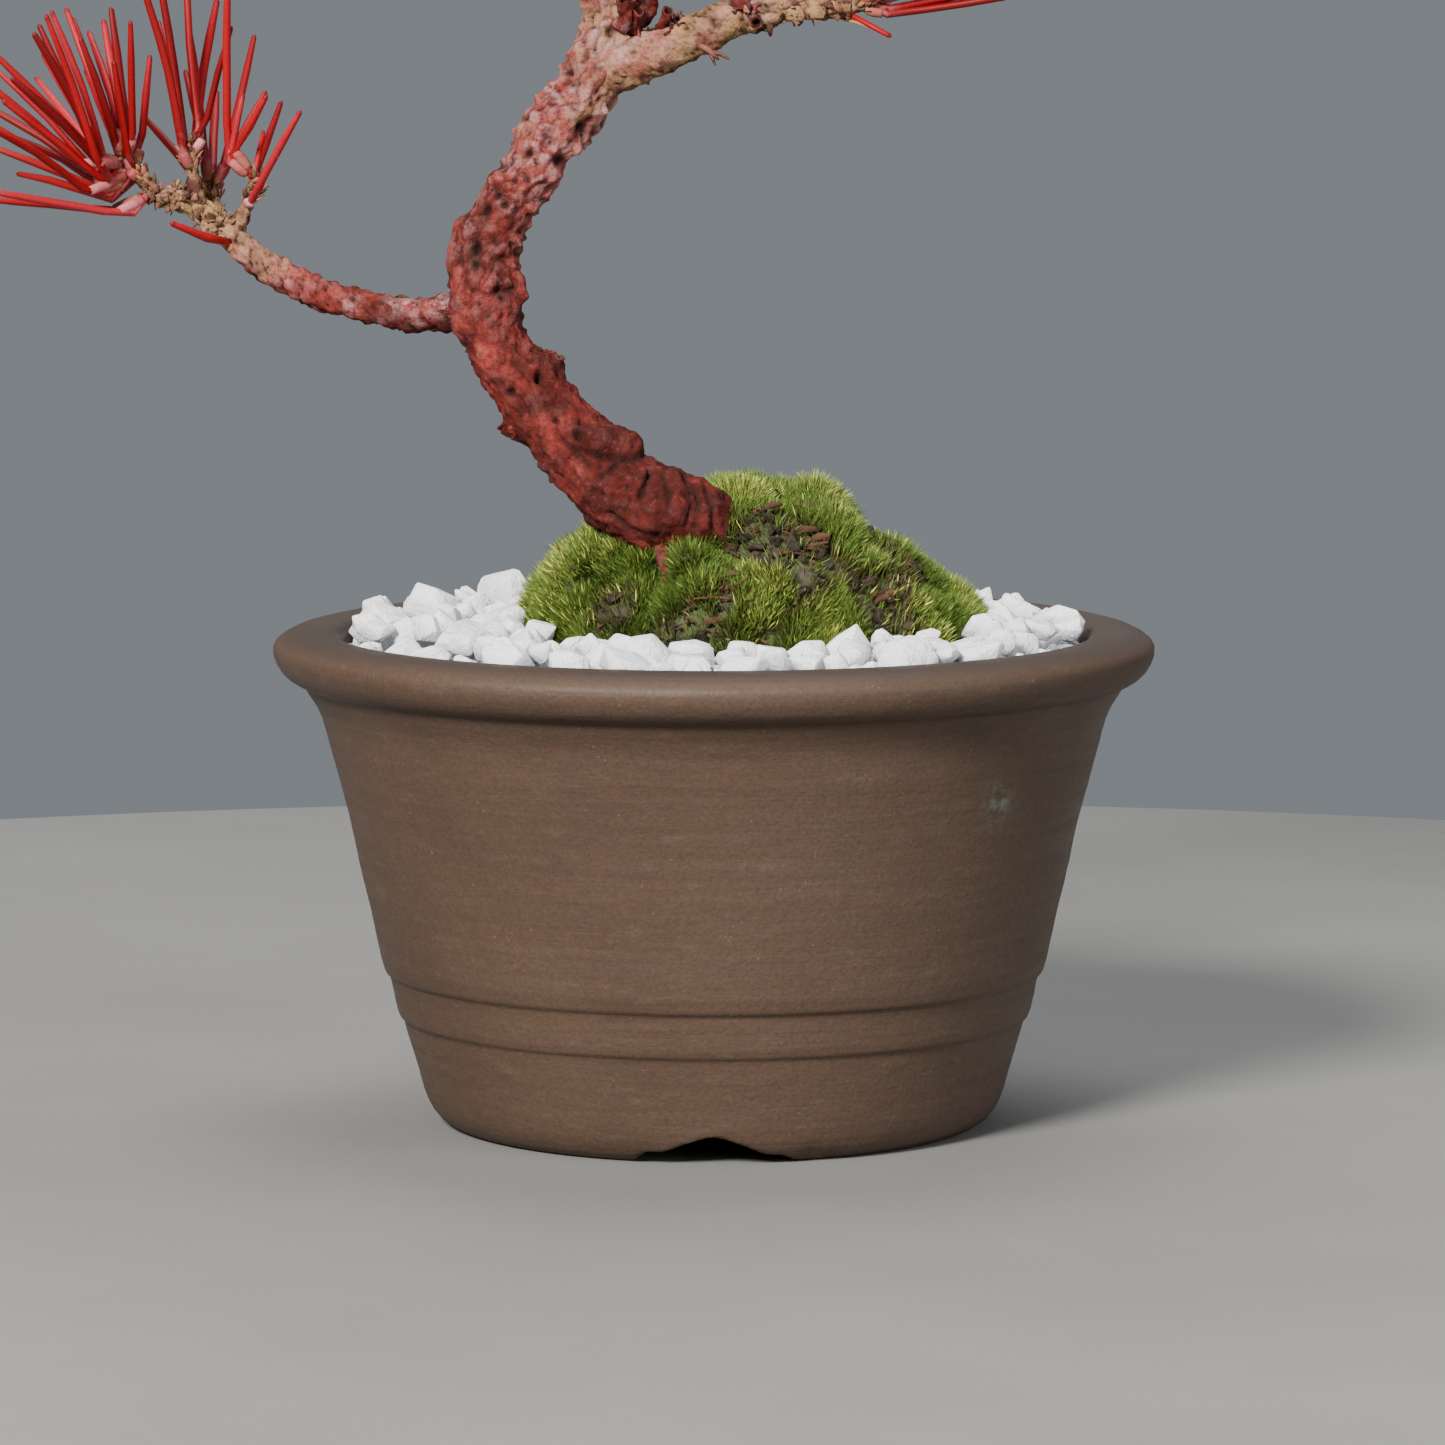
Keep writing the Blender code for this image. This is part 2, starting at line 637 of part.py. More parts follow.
def make_moss(parts, cutters):
    """A cap of moss over the soil mound, in clumps, with a hole for the trunk."""
    shares = [k / MOSS_RINGS for k in range(MOSS_RINGS + 1)]
    top = [(share, dome(share, MOSS_EDGE_TOP, MOSS_RISE)) for share in shares]
    under_shares = [1.0, 0.85, 0.65, 0.4, 0.2]
    under = [(share, dome(share, SOIL_TOP, SOIL_MOUND) + 2.5 * GAP / MM) for share in under_shares]
    under += [(0, dome(0, SOIL_TOP, SOIL_MOUND) + 2.5 * GAP / MM)]
    moss = turned("moss", top + under, MOSS_SIDES, parts)
    for vertex in moss.data.vertices:
        share = math.hypot(vertex.co.x, vertex.co.y) / MM
        on_top = vertex.co.z / MM > dome(min(share, 1.0), MOSS_EDGE_TOP, MOSS_RISE) - 1.0
        x, y = mound_place(1.0, vertex.co.x / MM, vertex.co.y / MM)
        vertex.co.x, vertex.co.y = x, y
        if on_top:
            fade = 1 - share**8
            vertex.co.z += moss_clumps(x / MM, y / MM) * fade * MM
    cut(moss, trunk_cutter("moss_hole", cutters))
    moss.data.materials.append(material("moss", (0.1, 0.17, 0.02, 1), 0.95))
    shade(moss, 60)


def stone_mesh(radius, draw):
    """One crushed stone: a flattened ball with uneven corners."""

    def build(work):
        bmesh.ops.create_icosphere(work, subdivisions=1, radius=radius * MM)
        for vertex in work.verts:
            vertex.co *= draw.uniform(0.8, 1.12)
        bmesh.ops.scale(work, vec=(1.0, draw.uniform(0.75, 0.95), draw.uniform(0.7, 0.9)), verts=work.verts)
        turn = Matrix.Rotation(draw.uniform(0, 2 * math.pi), 3, "Z")
        tip = Matrix.Rotation(draw.uniform(-0.5, 0.5), 3, "X")
        bmesh.ops.rotate(work, matrix=turn @ tip, verts=work.verts)

    return mesh_from("stone", build)


def mound_share(x, y, margin):
    """Where a place lies on the mound: below 1 inside its ellipse, widened by a margin."""
    across = (x - MOSS_CENTRE[0]) / (MOSS_HALF_SIZE[0] + margin)
    along = (y - MOSS_CENTRE[1]) / (MOSS_HALF_SIZE[1] + margin)
    return math.hypot(across, along)


def stone_places(draw):
    """Places and radii of the stones, packed between the moss and the pot."""
    outer = GRAVEL_BED_RADIUS[0]
    places = []
    for _ in range(STONE_TRIES):
        radius = draw.uniform(*STONE_RADIUS)
        x, y = draw.uniform(-outer, outer), draw.uniform(-outer, outer)
        reach = radius * 1.12 + MOSS_MARGIN
        if math.hypot(x, y) > outer - radius * 1.05 or mound_share(x, y, reach) < 1:
            continue
        spacing = [STONE_SPACING * (radius + r) - math.hypot(x - px, y - py) for px, py, r in places]
        if spacing and max(spacing) > 0:
            continue
        places.append((x, y, radius))
    return places


def make_gravel(parts, cutters):
    """A bed round the moss with crushed stones standing out of it."""
    draw = random.Random(12)
    low = SOIL_TOP + GAP / MM
    top_radius, low_radius = GRAVEL_BED_RADIUS
    outline = [(0, GRAVEL_BED_TOP), (top_radius, GRAVEL_BED_TOP), (low_radius, low), (0, low)]
    bed = turned("gravel", outline, GRAVEL_BED_SIDES, parts)
    middle = turned("moss_room", [(0, 80), (1.0, 80), (1.0, 50), (0, 50)], MOSS_SIDES, cutters)
    for vertex in middle.data.vertices:
        x, y = vertex.co.x / MM, vertex.co.y / MM
        vertex.co.x = (MOSS_CENTRE[0] + (MOSS_HALF_SIZE[0] + MOSS_MARGIN) * x) * MM
        vertex.co.y = (MOSS_CENTRE[1] + (MOSS_HALF_SIZE[1] + MOSS_MARGIN) * y) * MM
    cut(bed, as_cutter(middle))
    apply_modifiers(bed)
    stones = []
    for x, y, radius in stone_places(draw):
        stone = add_object("stone", stone_mesh(radius, draw), parts)
        lift = draw.uniform(0.1, 0.45) * radius
        stone.location = (x * MM, y * MM, (GRAVEL_BED_TOP + lift) * MM)
        stones.append(stone)
    fuse(bed, stones)
    bed.data.materials.append(material("white_stone", (0.75, 0.75, 0.76, 1), 0.8))


def roughen(item, amount, grain):
    """Raise and sink the bark by a noise of the given grain, in millimetres."""
    mesh = item.data
    normals = [vertex.normal.copy() for vertex in mesh.vertices]
    for vertex, normal in zip(mesh.vertices, normals):
        vertex.co += normal * amount * MM * noise.noise(vertex.co / (grain * MM))


def swell(item):
    """Raise the bark round each burr."""
    mesh = item.data
    normals = [vertex.normal.copy() for vertex in mesh.vertices]
    for vertex, normal in zip(mesh.vertices, normals):
        for *centre, spread, rise in BURRS:
            distance = (vertex.co / MM - Vector(centre)).length / spread
            vertex.co += normal * rise * MM * math.exp(-(distance**2))


def spray_axis(spray):
    return Vector(spray.axis).normalized()


def spray_foot(spray):
    """Where a spray's twig ends and its core starts, in millimetres."""
    return Vector(spray.base) + spray_axis(spray) * TWIG_COLLAR


def twig_route(spray):
    """The twig that carries a spray: it turns into line with the core before it ends."""
    thick, thin = TWIG_RADIUS
    collar = spray_foot(spray)
    if spray.root:
        points = [(*spray.root, thick), (*spray.base, thin), (*collar, thin)]
    else:
        points = [(*(Vector(spray.base) - spray_axis(spray)), thin), (*collar, thin)]
    return [tuple(value * MM for value in point) for point in points]


def stub_route(foot, end, radius):
    return [(*(c * MM for c in foot), radius * 1.25 * MM), (*(c * MM for c in end), radius * MM)]


def make_tree(parts):
    """Root stock, trunk, branches, twigs and stubs, joined in one solid."""
    bark = material("painted_bark", RED_BARK, 0.8)
    tree = tube("tree", smooth_route(TRUNK, TRUNK_SPACING), TRUNK_SIDES_SETTING, parts)
    swell(tree)
    roughen(tree, BARK_RELIEF, BARK_GRAIN)
    pieces = []
    for number, points in enumerate(BRANCHES):
        branch = tube(f"branch_{number}", smooth_route(points, BRANCH_SPACING), BRANCH_SIDES_SETTING, parts)
        roughen(branch, 0.15, 2.0)
        pieces.append(branch)
    for spray in SPRAYS:
        pieces.append(tube("twig", twig_route(spray), BRANCH_SIDES_SETTING, parts))
    for *ends, radius in STUBS:
        pieces.append(tube("stub", stub_route(ends[:3], ends[3:], radius), BRANCH_SIDES_SETTING, parts))
    fuse(tree, pieces)
    tree.data.materials.append(bark)
    shade(tree, 50)


TREE_OWNER = -1
NOT_A_CORE = -2


class Room:
    """Remembers what has been placed, as rods, so that new needles stay clear of it."""

    def __init__(self):
        self.starts = np.zeros((0, 3))
        self.ends = np.zeros((0, 3))
        self.radii = np.zeros(0)
        self.owners = np.zeros(0, dtype=int)
        self.cores = np.zeros(0, dtype=int)

    def add(self, points, radius, owner, core_of=NOT_A_CORE):
        points = np.asarray(points)
        self.starts = np.vstack([self.starts, points[:-1]])
        self.ends = np.vstack([self.ends, points[1:]])
        self.radii = np.append(self.radii, np.full(len(points) - 1, radius))
        self.owners = np.append(self.owners, np.full(len(points) - 1, owner))
        self.cores = np.append(self.cores, np.full(len(points) - 1, core_of))

    def is_clear(self, points, radius, owner):
        """Whether a rod clears the others, and those of its own spray by less."""
        samples = np.linspace(0, 1, 22)
        corners = np.linspace(0, 1, len(points))
        line = np.stack([np.interp(samples, corners, np.asarray(points)[:, k]) for k in range(3)], axis=1)
        along = self.ends - self.starts
        offset = line[:, None, :] - self.starts[None]
        share = np.clip((offset * along).sum(2) / (along * along).sum(1), 0, 1)
        nearest = self.starts + share[:, :, None] * along
        distance = np.linalg.norm(line[:, None, :] - nearest, axis=2) - self.radii - radius
        needed = np.where(self.owners == owner, OWN_CLEARANCE, CLEARANCE)
        needed[self.cores == owner] = -math.inf
        return (distance - needed).min() > 0


def needle_line(spray, along, turn, lean, length):
    """The foot and the tip of one needle, in millimetres."""
    axis = spray_axis(spray)
    across = axis.cross(Vector((0, 0, 1)) if abs(axis.z) < 0.9 else Vector((1, 0, 0))).normalized()
    radial = Matrix.Rotation(turn, 3, axis) @ across
    direction = axis * math.cos(lean) + radial * math.sin(lean) + Vector((0, 0, NEEDLE_RISE))
    direction.normalize()
    start = spray_foot(spray) + axis * (ROOT_MARGIN[0] + along * (spray.core - sum(ROOT_MARGIN)))
    return [start, start + direction * length]


def limit_to_crown(line):
    """Shorten a needle that would pass the crown's sides."""
    start, tip = line
    reach = max(abs(tip.x) / CROWN_HALF_WIDTH, abs(tip.y) / CROWN_HALF_DEPTH)
    if reach <= 1:
        return line
    wide = abs(tip.x) / CROWN_HALF_WIDTH >= abs(tip.y) / CROWN_HALF_DEPTH
    k, limit = (0, CROWN_HALF_WIDTH) if wide else (1, CROWN_HALF_DEPTH)
    share = (math.copysign(limit, tip[k]) - start[k]) / (tip[k] - start[k])
    return [start, start + (tip - start) * share]


def place_needles(spray, owner, room):
    """Choose the spray's needles, in a spiral up the core that leans in towards its tip."""
    draw = random.Random(f"{spray.name} {NEEDLE_SEED}")
    in_photo = spray.name.startswith("left_low") or spray.name == "right_low_shoot"
    lines = []
    for number in range(spray.needles):
        along = (number + 0.5) / spray.needles
        for attempt in range(PLACING_TRIES):
            loose = 1 + attempt / 10
            turn = number * GOLDEN_ANGLE + draw.uniform(-0.2, 0.2) * loose
            lean = TIP_LEAN + spray.lean * (1 - along**1.5) + draw.uniform(-5, 5) * loose
            length = spray.length * draw.uniform(0.84, 1.06)
            line = limit_to_crown(needle_line(spray, along, turn, math.radians(lean), length))
            if line[1].z < CROWN_BOTTOM and not in_photo:
                continue
            bare = [line[0].lerp(line[1], ROOT_DEPTH / length), line[1]]
            if room.is_clear(bare, NEEDLE_RADIUS, owner):
                lines.append(line)
                room.add(bare, NEEDLE_RADIUS, owner)
                break
    return lines


def needle_mesh(line):
    """A three-sided needle with a blunt tip."""
    start, tip = (point * MM for point in line)
    chord = tip - start
    frame = chord.to_track_quat("Z", "Y").to_matrix()

    def build(work):
        ends = {"radius1": NEEDLE_RADIUS * MM, "radius2": NEEDLE_TIP_RADIUS * MM}
        bmesh.ops.create_cone(work, cap_ends=True, segments=3, depth=chord.length, **ends)
        bmesh.ops.translate(work, vec=(0, 0, chord.length / 2), verts=work.verts)
        bmesh.ops.rotate(work, matrix=frame, verts=work.verts)
        bmesh.ops.translate(work, vec=start, verts=work.verts)

    return mesh_from("needle", build)


def make_spray(spray, owner, room, parts, skin):
    """A slim core with its needles, fused in one solid."""
    axis = spray_axis(spray)
    foot = spray_foot(spray) * MM + axis * GAP
    head = (spray_foot(spray) + axis * spray.core) * MM
    low, high = CORE_RADIUS
    middle = (foot + head) / 2
    route = [(*foot, low * MM), (*middle, (low + CORE_SWELLING) * MM), (*head, high * MM)]
    body = tube("needles_" + spray.name, route, BRANCH_SIDES_SETTING, parts)
    needles = [
        add_object("needle", needle_mesh(line), parts) for line in place_needles(spray, owner, room)
    ]
    fuse(body, needles)
    body.data.materials.append(skin)


def make_sprays(parts):
    """All the sprays, each kept clear of the tree and of the sprays placed before it."""
    room = Room()
    for points in [TRUNK] + BRANCHES:
        rows = np.array(smooth_route(points, BRANCH_SPACING)) / MM
        for first, second in zip(rows, rows[1:]):
            room.add([first[:3], second[:3]], max(first[3], second[3]), TREE_OWNER)
    for owner, spray in enumerate(SPRAYS):
        twig = [Vector(point[:3]) / MM for point in twig_route(spray)]
        room.add(twig, TWIG_RADIUS[0], TREE_OWNER, core_of=owner)
        foot = spray_foot(spray)
        core = [foot, foot + spray_axis(spray) * spray.core]
        room.add(core, CORE_RADIUS[0] + CORE_SWELLING, owner, core_of=owner)
    skin = material("dyed_needle", RED_NEEDLE, 0.45)
    for owner, spray in enumerate(SPRAYS):
        make_spray(spray, owner, room, parts, skin)


def main():
    parts, cutters = clear_scene()
    make_pot(parts, cutters)
    make_drain_screen(parts)
    make_screen_clip(parts)
    make_soil(parts, cutters)
    make_gravel(parts, cutters)
    make_moss(parts, cutters)
    make_tree(parts)
    make_sprays(parts)


main()
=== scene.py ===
import math
import random
from collections import namedtuple

import bmesh
import bpy
import numpy as np
from mathutils import Matrix, Vector, noise


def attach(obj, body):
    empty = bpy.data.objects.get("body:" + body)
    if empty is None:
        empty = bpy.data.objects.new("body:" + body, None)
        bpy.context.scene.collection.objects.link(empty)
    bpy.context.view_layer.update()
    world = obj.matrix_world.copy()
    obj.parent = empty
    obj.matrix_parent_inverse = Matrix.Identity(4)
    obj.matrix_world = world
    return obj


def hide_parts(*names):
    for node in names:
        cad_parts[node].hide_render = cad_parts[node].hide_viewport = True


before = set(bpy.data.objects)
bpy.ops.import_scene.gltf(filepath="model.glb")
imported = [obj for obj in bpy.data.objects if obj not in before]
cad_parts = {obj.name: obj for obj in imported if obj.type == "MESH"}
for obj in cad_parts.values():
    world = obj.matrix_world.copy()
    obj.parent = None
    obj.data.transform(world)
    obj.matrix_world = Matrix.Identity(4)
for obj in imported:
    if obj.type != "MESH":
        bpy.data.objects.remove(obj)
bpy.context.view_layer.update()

# Lengths in the lists and in the mesh code are millimetres. The scene is in metres.
MM = 0.001
GOLDEN_ANGLE = math.radians(137.5)
BODY = "root"
TO_CAMERA = np.array([0, -1, 0])

# The pot: radii and heights down its outside, under its foot and up its inside
POT_SIDES = 240
POT_STEPS = (0.6, 4.5)
LEDGE_HEIGHT = 18
PALE_SPOT = (37.7, 47.9)
PALE_SPOT_SIZE = (1.6, 2.6)
WELD_GAP = 0.004
NOTCHES = 3
POT_OUTER = [
    (51, 66.4), (51.3, 66.9), (52, 67.3), (53.2, 67.55), (54.8, 67.6), (56.4, 67.5), (57.8, 67.15),
    (58.9, 66.6), (59.7, 65.95), (60, 65.3), (59.95, 64.3), (59.6, 63.3), (59, 62.3), (58.2, 61.55),
    (57.3, 61), (56.6, 60.68), (56.2, 60.5), (55.95, 60.2), (55.7, 59.8), (55.2, 59), (54.6, 58.1),
    (54.05, 57.1), (53.5, 55.8), (52.95, 53.9), (52.3, 51.5), (51.6, 48.9), (50.75, 45.8), (49.95, 42.7),
    (49.2, 39.4), (48.5, 36), (47.7, 32.5), (46.95, 29.4), (46.2, 25.8), (45.6, 22.9), (45.3, 21.9),
    (45.15, 21.4), (44.95, 21.05), (44.7, 20.85), (44.5, 20.6), (44.4, 20.3), (44.2, 19.6), (43.75, 17.4),
    (43.45, 16), (43.2, 15.3), (43.05, 14.95), (42.8, 14.75), (42.6, 14.5), (42.45, 14.1), (42, 12.4),
    (41.3, 10), (40.5, 7.2), (39.85, 4.8), (39.3, 3.3), (38.65, 2.1), (37.8, 1.1), (36.8, 0.4), (35.8, 0),
]
POT_UNDER = [(34.2, 0), (32.3, 0), (31.8, 0.5), (30.6, 4.2), (30, 4.5), (18, 4.5), (6.3, 4.5), (6, 4.8)]
POT_INSIDE = [
    (6, 8.8), (6.3, 9), (20, 9), (33, 9), (36, 9.9), (37.8, 13), (44, 36), (49.9, 58), (50.7, 63),
    (50.95, 65.8),
]
NOTCH_HALF_WIDTH = 11.3
NOTCH_HEIGHT = 1.45
ARCH_HALF_WIDTH = 7.6
ARCH_HEIGHT = 4
# Small crumbs and nicks on the front of the pot: x, z, size, how far they stand out
POT_MARKS = [
    (25.8, 54.3, 0.5, 0.35), (25.6, 55.3, 0.35, 0.25), (33.5, 56.2, 0.45, -0.2), (-27.6, 11.4, 0.7, 0.35),
    (-26.6, 12, 0.7, -0.3), (-6, 5.6, 0.6, -0.25), (-3.6, 5.3, 0.6, -0.25), (-1.2, 5, 0.6, -0.2),
    (13, 1.2, 0.9, -0.5), (15.4, 0.8, 0.7, -0.35), (11, 12.6, 0.8, 0.12), (24, 12.9, 1, 0.12),
]

# The planting: moss first, then gravel
MOSS_CENTRE = (5, 1)
MOSS_HALF_SIZE = (32, 25.5)
MOSS_EDGE_TOP = 67.2
MOSS_RISE = 19
MOSS_STEEPNESS = 2.2
MOSS_CLUMPS = [
    (-18, -1, 7.5, 4.3), (11, 7, 7, 2.6), (24, -4, 6, -1.4), (12, -14, 5, 1.6), (-6, -12, 6, -1.6),
    (1.5, -10.5, 4.5, -3), (-4, 14, 7, 1.2), (-7.5, -17.5, 3, -1.8), (20.4, -1.5, 3.4, -2.6),
    (20, 5, 3.6, -2.6), (19, 11, 4, -1.6),
]
# Where the moss is paler or darker: x, y, reach, change of tint, share of bright yellow tips, which are
# painted glints of light
MOSS_TINTS = [
    (-21, -6, 9, -0.02, 0.14), (13, 8, 12, 0, 0.01), (7.6, -18.6, 4, 0.38, 0.2), (2, -24, 9, -0.12, 0),
    (17, -22, 3, 0.3, 0.03), (18.2, -10.3, 3.4, 0.14, 0.01), (26, -15, 4, 0.06, 0.22),
    (22, 0, 9, 0.1, 0.01), (-5, -13, 6, -0.12, 0),
]
# Bare brown patches (above 0) and places where the moss is thick (below 0): x, y, reach, weight
MOSS_BARE = [
    (9.8, -12.6, 5, 2.3), (-13.5, -15.4, 3.2, 1.5), (-5, -20.9, 3.6, 1.6), (22, -14.5, 3.4, 1.5),
    (25.5, -7.5, 4.2, 1), (1.5, -19, 1.6, 0.9), (10, 8, 8, -0.9), (-19, -4, 5, -0.9),
    (7.6, -18.6, 2.6, -1.2), (18.2, -10.3, 3.2, -1.2), (17, -22.5, 4, -1.2), (-4, -13.5, 4.5, -0.9),
    (31, -4, 4, -0.9),
]
# Twigs and scales that the photo shows on the moss: x, y, rise, heading, steepness, length, radius, tint
MOSS_BITS = [
    (21.2, -0.5, 0.6, 80, 70, 2.6, 0.75, 0.3), (-0.2, -20.2, 0.9, 190, 2, 5.4, 0.2, 0.85),
    (5.1, -20.6, 0.4, 100, 60, 3, 0.65, 0.72), (12.2, -10.6, 0.2, 8, 5, 4, 0.6, 0.6),
    (14.4, -12.4, 0.2, -30, 15, 2.8, 0.55, 0.7), (22.4, -15.4, 0.3, -50, 20, 3.2, 0.6, 0.66),
    (24, -13.8, 0.3, 30, 10, 2.4, 0.5, 0.75), (0, -21.8, 0.3, 10, 8, 2.6, 0.5, 0.7),
    (8, -8.6, 0.2, 20, 10, 2.6, 0.5, 0.62), (-19.4, -9.4, 0.6, 70, 50, 1.8, 0.4, 0.3),
]
MOSS_GRID_STEP = 0.5
MOSS_DEPTH = 1.7
MOSS_SKIRT = 63.5
CUSHION_TRIES = 900
CUSHION_SEED = 5
SHOOT_COUNT = 93000
SHOOT_SEED = 60
LITTER_TRIES = 1700
LITTER_SEED = 8
GRAVEL_BED = 64.6
GRAVEL_TOP = 70.9
GRAVEL_RADIUS = 50.5
WALL_TOP = 67.5
STONE_RADIUS = (2, 4.1)
FIRST_STONE_RADIUS = (3.2, 4.1)
STONE_CORNERS = (15, 24)
STONE_TRIES = 9000
FIRST_STONE_TRIES = 300
STONE_SEED = 4
CHIP_RADIUS = (1.1, 1.9)
CHIP_CORNERS = (8, 11)
CHIP_TRIES = 6000
CHIP_SEED = 14
# Large stones that stand out above the others: x, y, z, radius
LARGE_STONES = [
    (-38.6, 9, 69.1, 4.7), (-45.6, 0.5, 68, 4.2), (-29, 33.5, 68.4, 4.3), (-33.5, -14, 66.9, 4.1),
    (43, 13, 68.4, 4.6), (46.6, 1, 67.6, 3.9), (25, -37, 66.6, 4.4), (-12, -44, 66.9, 3.9),
]

# The root stock below the trunk, then the trunk's centreline up to its tip: x, y, z, radius
ROOT_STOCK = [(9, 3, 46, 3), (9, 3, 50, 4.6)]
TRUNK = [
    (9, 3, 56.5, 5.7), (8.4, 2.6, 63.5, 6), (7, 1.2, 69.8, 6), (3.6, -1.4, 73.8, 5.8),
    (0.6, -3.4, 77.8, 5.6), (-1.5, -4.5, 81.5, 5.9), (-5.4, -5.5, 83.3, 6.3), (-10.4, -5, 85.2, 6.3),
    (-15.7, -4, 89.6, 5.8), (-21, -2, 95, 5.2), (-24.8, -1, 99.5, 4.9), (-28.6, 0, 104.5, 4.5),
    (-30.6, 0, 109.4, 4.6), (-31.2, 0, 113.9, 4.9), (-31.2, 0, 118.7, 4.7), (-28.5, 0, 124.4, 4.3),
    (-26.1, 0, 128, 4.3), (-23.2, 0, 132.4, 4.4), (-18.8, 1, 138.2, 4.6), (-15.6, 1, 144.4, 4.5),
    (-13.8, 2, 149.2, 4.2), (-13.2, 2.4, 153.6, 4.1), (-13.3, 3.2, 159, 3.9), (-12.2, 4, 165, 3.7),
    (-8.7, 4.2, 171.5, 3.4), (-4.2, 3.2, 177.5, 3.1), (-0.8, 1.4, 184, 2.7), (0.8, 0, 190.5, 2.3),
    (0.8, -0.8, 196.5, 1.9), (0.3, -1, 201.5, 1.5),
]

# Branch centrelines, from inside the trunk to the tip: x, y, z, radius
LEFT_LOW = [
    (-31.6, 0, 111, 3), (-37.3, 2, 110.3, 2.55), (-41.4, 4, 110, 2.35), (-46.8, 6, 110.9, 2.25),
    (-52.8, 8.5, 112.2, 2.2), (-58.8, 11, 114.8, 2.15), (-62.9, 12, 117.2, 2.05), (-65.5, 13, 119.4, 2),
    (-68.2, 14, 121.8, 1.85), (-70.8, 15, 123.9, 1.75), (-74, 15.6, 125.3, 1.6), (-76.4, 16, 125.4, 1.4),
]
RIGHT_LOW = [
    (-15.8, 1, 142.8, 3.4), (-10, -1, 145, 3.35), (-3.3, -2, 147.7, 3), (2.8, -3, 150.3, 2.5),
    (8, -4.2, 151.6, 2.1), (13, -5.5, 154.9, 1.6), (22, -7, 159.5, 1.6), (33, -8, 164, 1.5),
    (44, -8, 167.4, 1.45), (54, -7, 170.8, 1.4), (60, -6, 173.6, 1.3),
]
RIGHT_LOW_SHOOT = [
    (6, -3.8, 151.2, 1.9), (12, -4.8, 151.9, 1.75), (18.4, -5.2, 151.6, 1.4),
]
LEFT_MIDDLE = [
    (-13.6, 3.4, 160.5, 2.2), (-19, 6, 163.5, 1.9), (-28, 9, 167.5, 1.7), (-37, 11, 172, 1.6),
    (-45, 12, 177, 1.45), (-50, 12.5, 181, 1.3),
]
BACK = [
    (-11.4, 4, 167, 2), (-8, 10, 170, 1.8), (-3, 18, 173, 1.6), (3, 25, 177, 1.45), (6, 29, 180.6, 1.3),
]
FRONT = [
    (-6.4, 3.8, 174.6, 2), (-8, -3, 178, 1.8), (-11, -12, 181, 1.6), (-12, -20, 184.6, 1.4),
    (-12, -24.4, 187.8, 1.3),
]
RIGHT_MIDDLE = [
    (-1, 1.6, 183.2, 1.9), (6, 2, 186, 1.7), (15, 4, 189.4, 1.5), (24, 6, 193.4, 1.4), (30, 7, 197.2, 1.3),
]
LEFT_TOP = [
    (0.8, -0.1, 190.8, 1.6), (-5, 1, 194, 1.45), (-12, 1.5, 198.2, 1.35), (-17, 1.5, 202.2, 1.25),
]
# A small root that runs down from the front of the trunk into the moss
SMALL_ROOT = [
    (-7.2, -9.5, 80, 1.2), (-6.9, -11.5, 78.6, 1), (-6.5, -13.2, 77, 0.85), (-6.1, -14.4, 75.2, 0.8),
    (-5.8, -15.2, 72.6, 0.7),
]
# Each branch with how much red paint it keeps, from its foot to its tip
BRANCHES = [
    (LEFT_LOW, (0.85, 0.72, 0.68, 0.14, 0)), (RIGHT_LOW, (0.4, 0.1, 0.15, 0.3, 0.35)),
    (RIGHT_LOW_SHOOT, (0.1, 0.05, 0.2)), (LEFT_MIDDLE, (0.7, 0.4, 0.2)), (BACK, (0.7, 0.4, 0.2)),
    (FRONT, (0.7, 0.4, 0.2)), (RIGHT_MIDDLE, (0.7, 0.4, 0.2)), (LEFT_TOP, (0.6, 0.4, 0.2)),
]

# The trunk's paint up its height: z, red paint, pale bloom
TRUNK_PAINT = [
    (75, 0.98, 0.05), (88, 0.96, 0.06), (100, 0.84, 0.08), (106, 0.72, 0.18), (112, 0.7, 0.22),
    (116, 0.73, 0.26), (122, 0.78, 0.28), (130, 0.61, 0.58), (138, 0.44, 0.9), (146, 0.27, 0.7),
    (152, 0.36, 0.6), (158, 0.4, 0.45), (170, 0.6, 0.3), (205, 0.5, 0.2),
]
BRANCH_SEED = 100
TWIG_SEED = 300
STUB_SEED = 600
HEAP_SEED = 700
WEAR_SEED = 77

# Swellings of the bark: x, y, z, how wide they spread and how far they stand out
BURRS = [
    (-22.6, -1.6, 103.6, 2.2, 1.5), (-26.8, -1.5, 95.2, 2.6, 1.6), (-17, 1.4, 154, 2.2, 1.2),
    (-15.5, -0.5, 95.4, 2.6, 0.7), (-24.8, -4, 112.6, 2.2, 1.1), (-27, -0.6, 114, 3.4, 1.5),
    (-23.6, 0.6, 136.4, 2.8, 1.1), (-9, -10.4, 82, 4, 1.2), (-15, 3, 92.6, 4, 1.3),
    (-34.4, 2.6, 121, 3, 1.2), (-19, 4.6, 142, 3, 1.2), (-35.4, 0, 110.5, 3.2, 1),
]
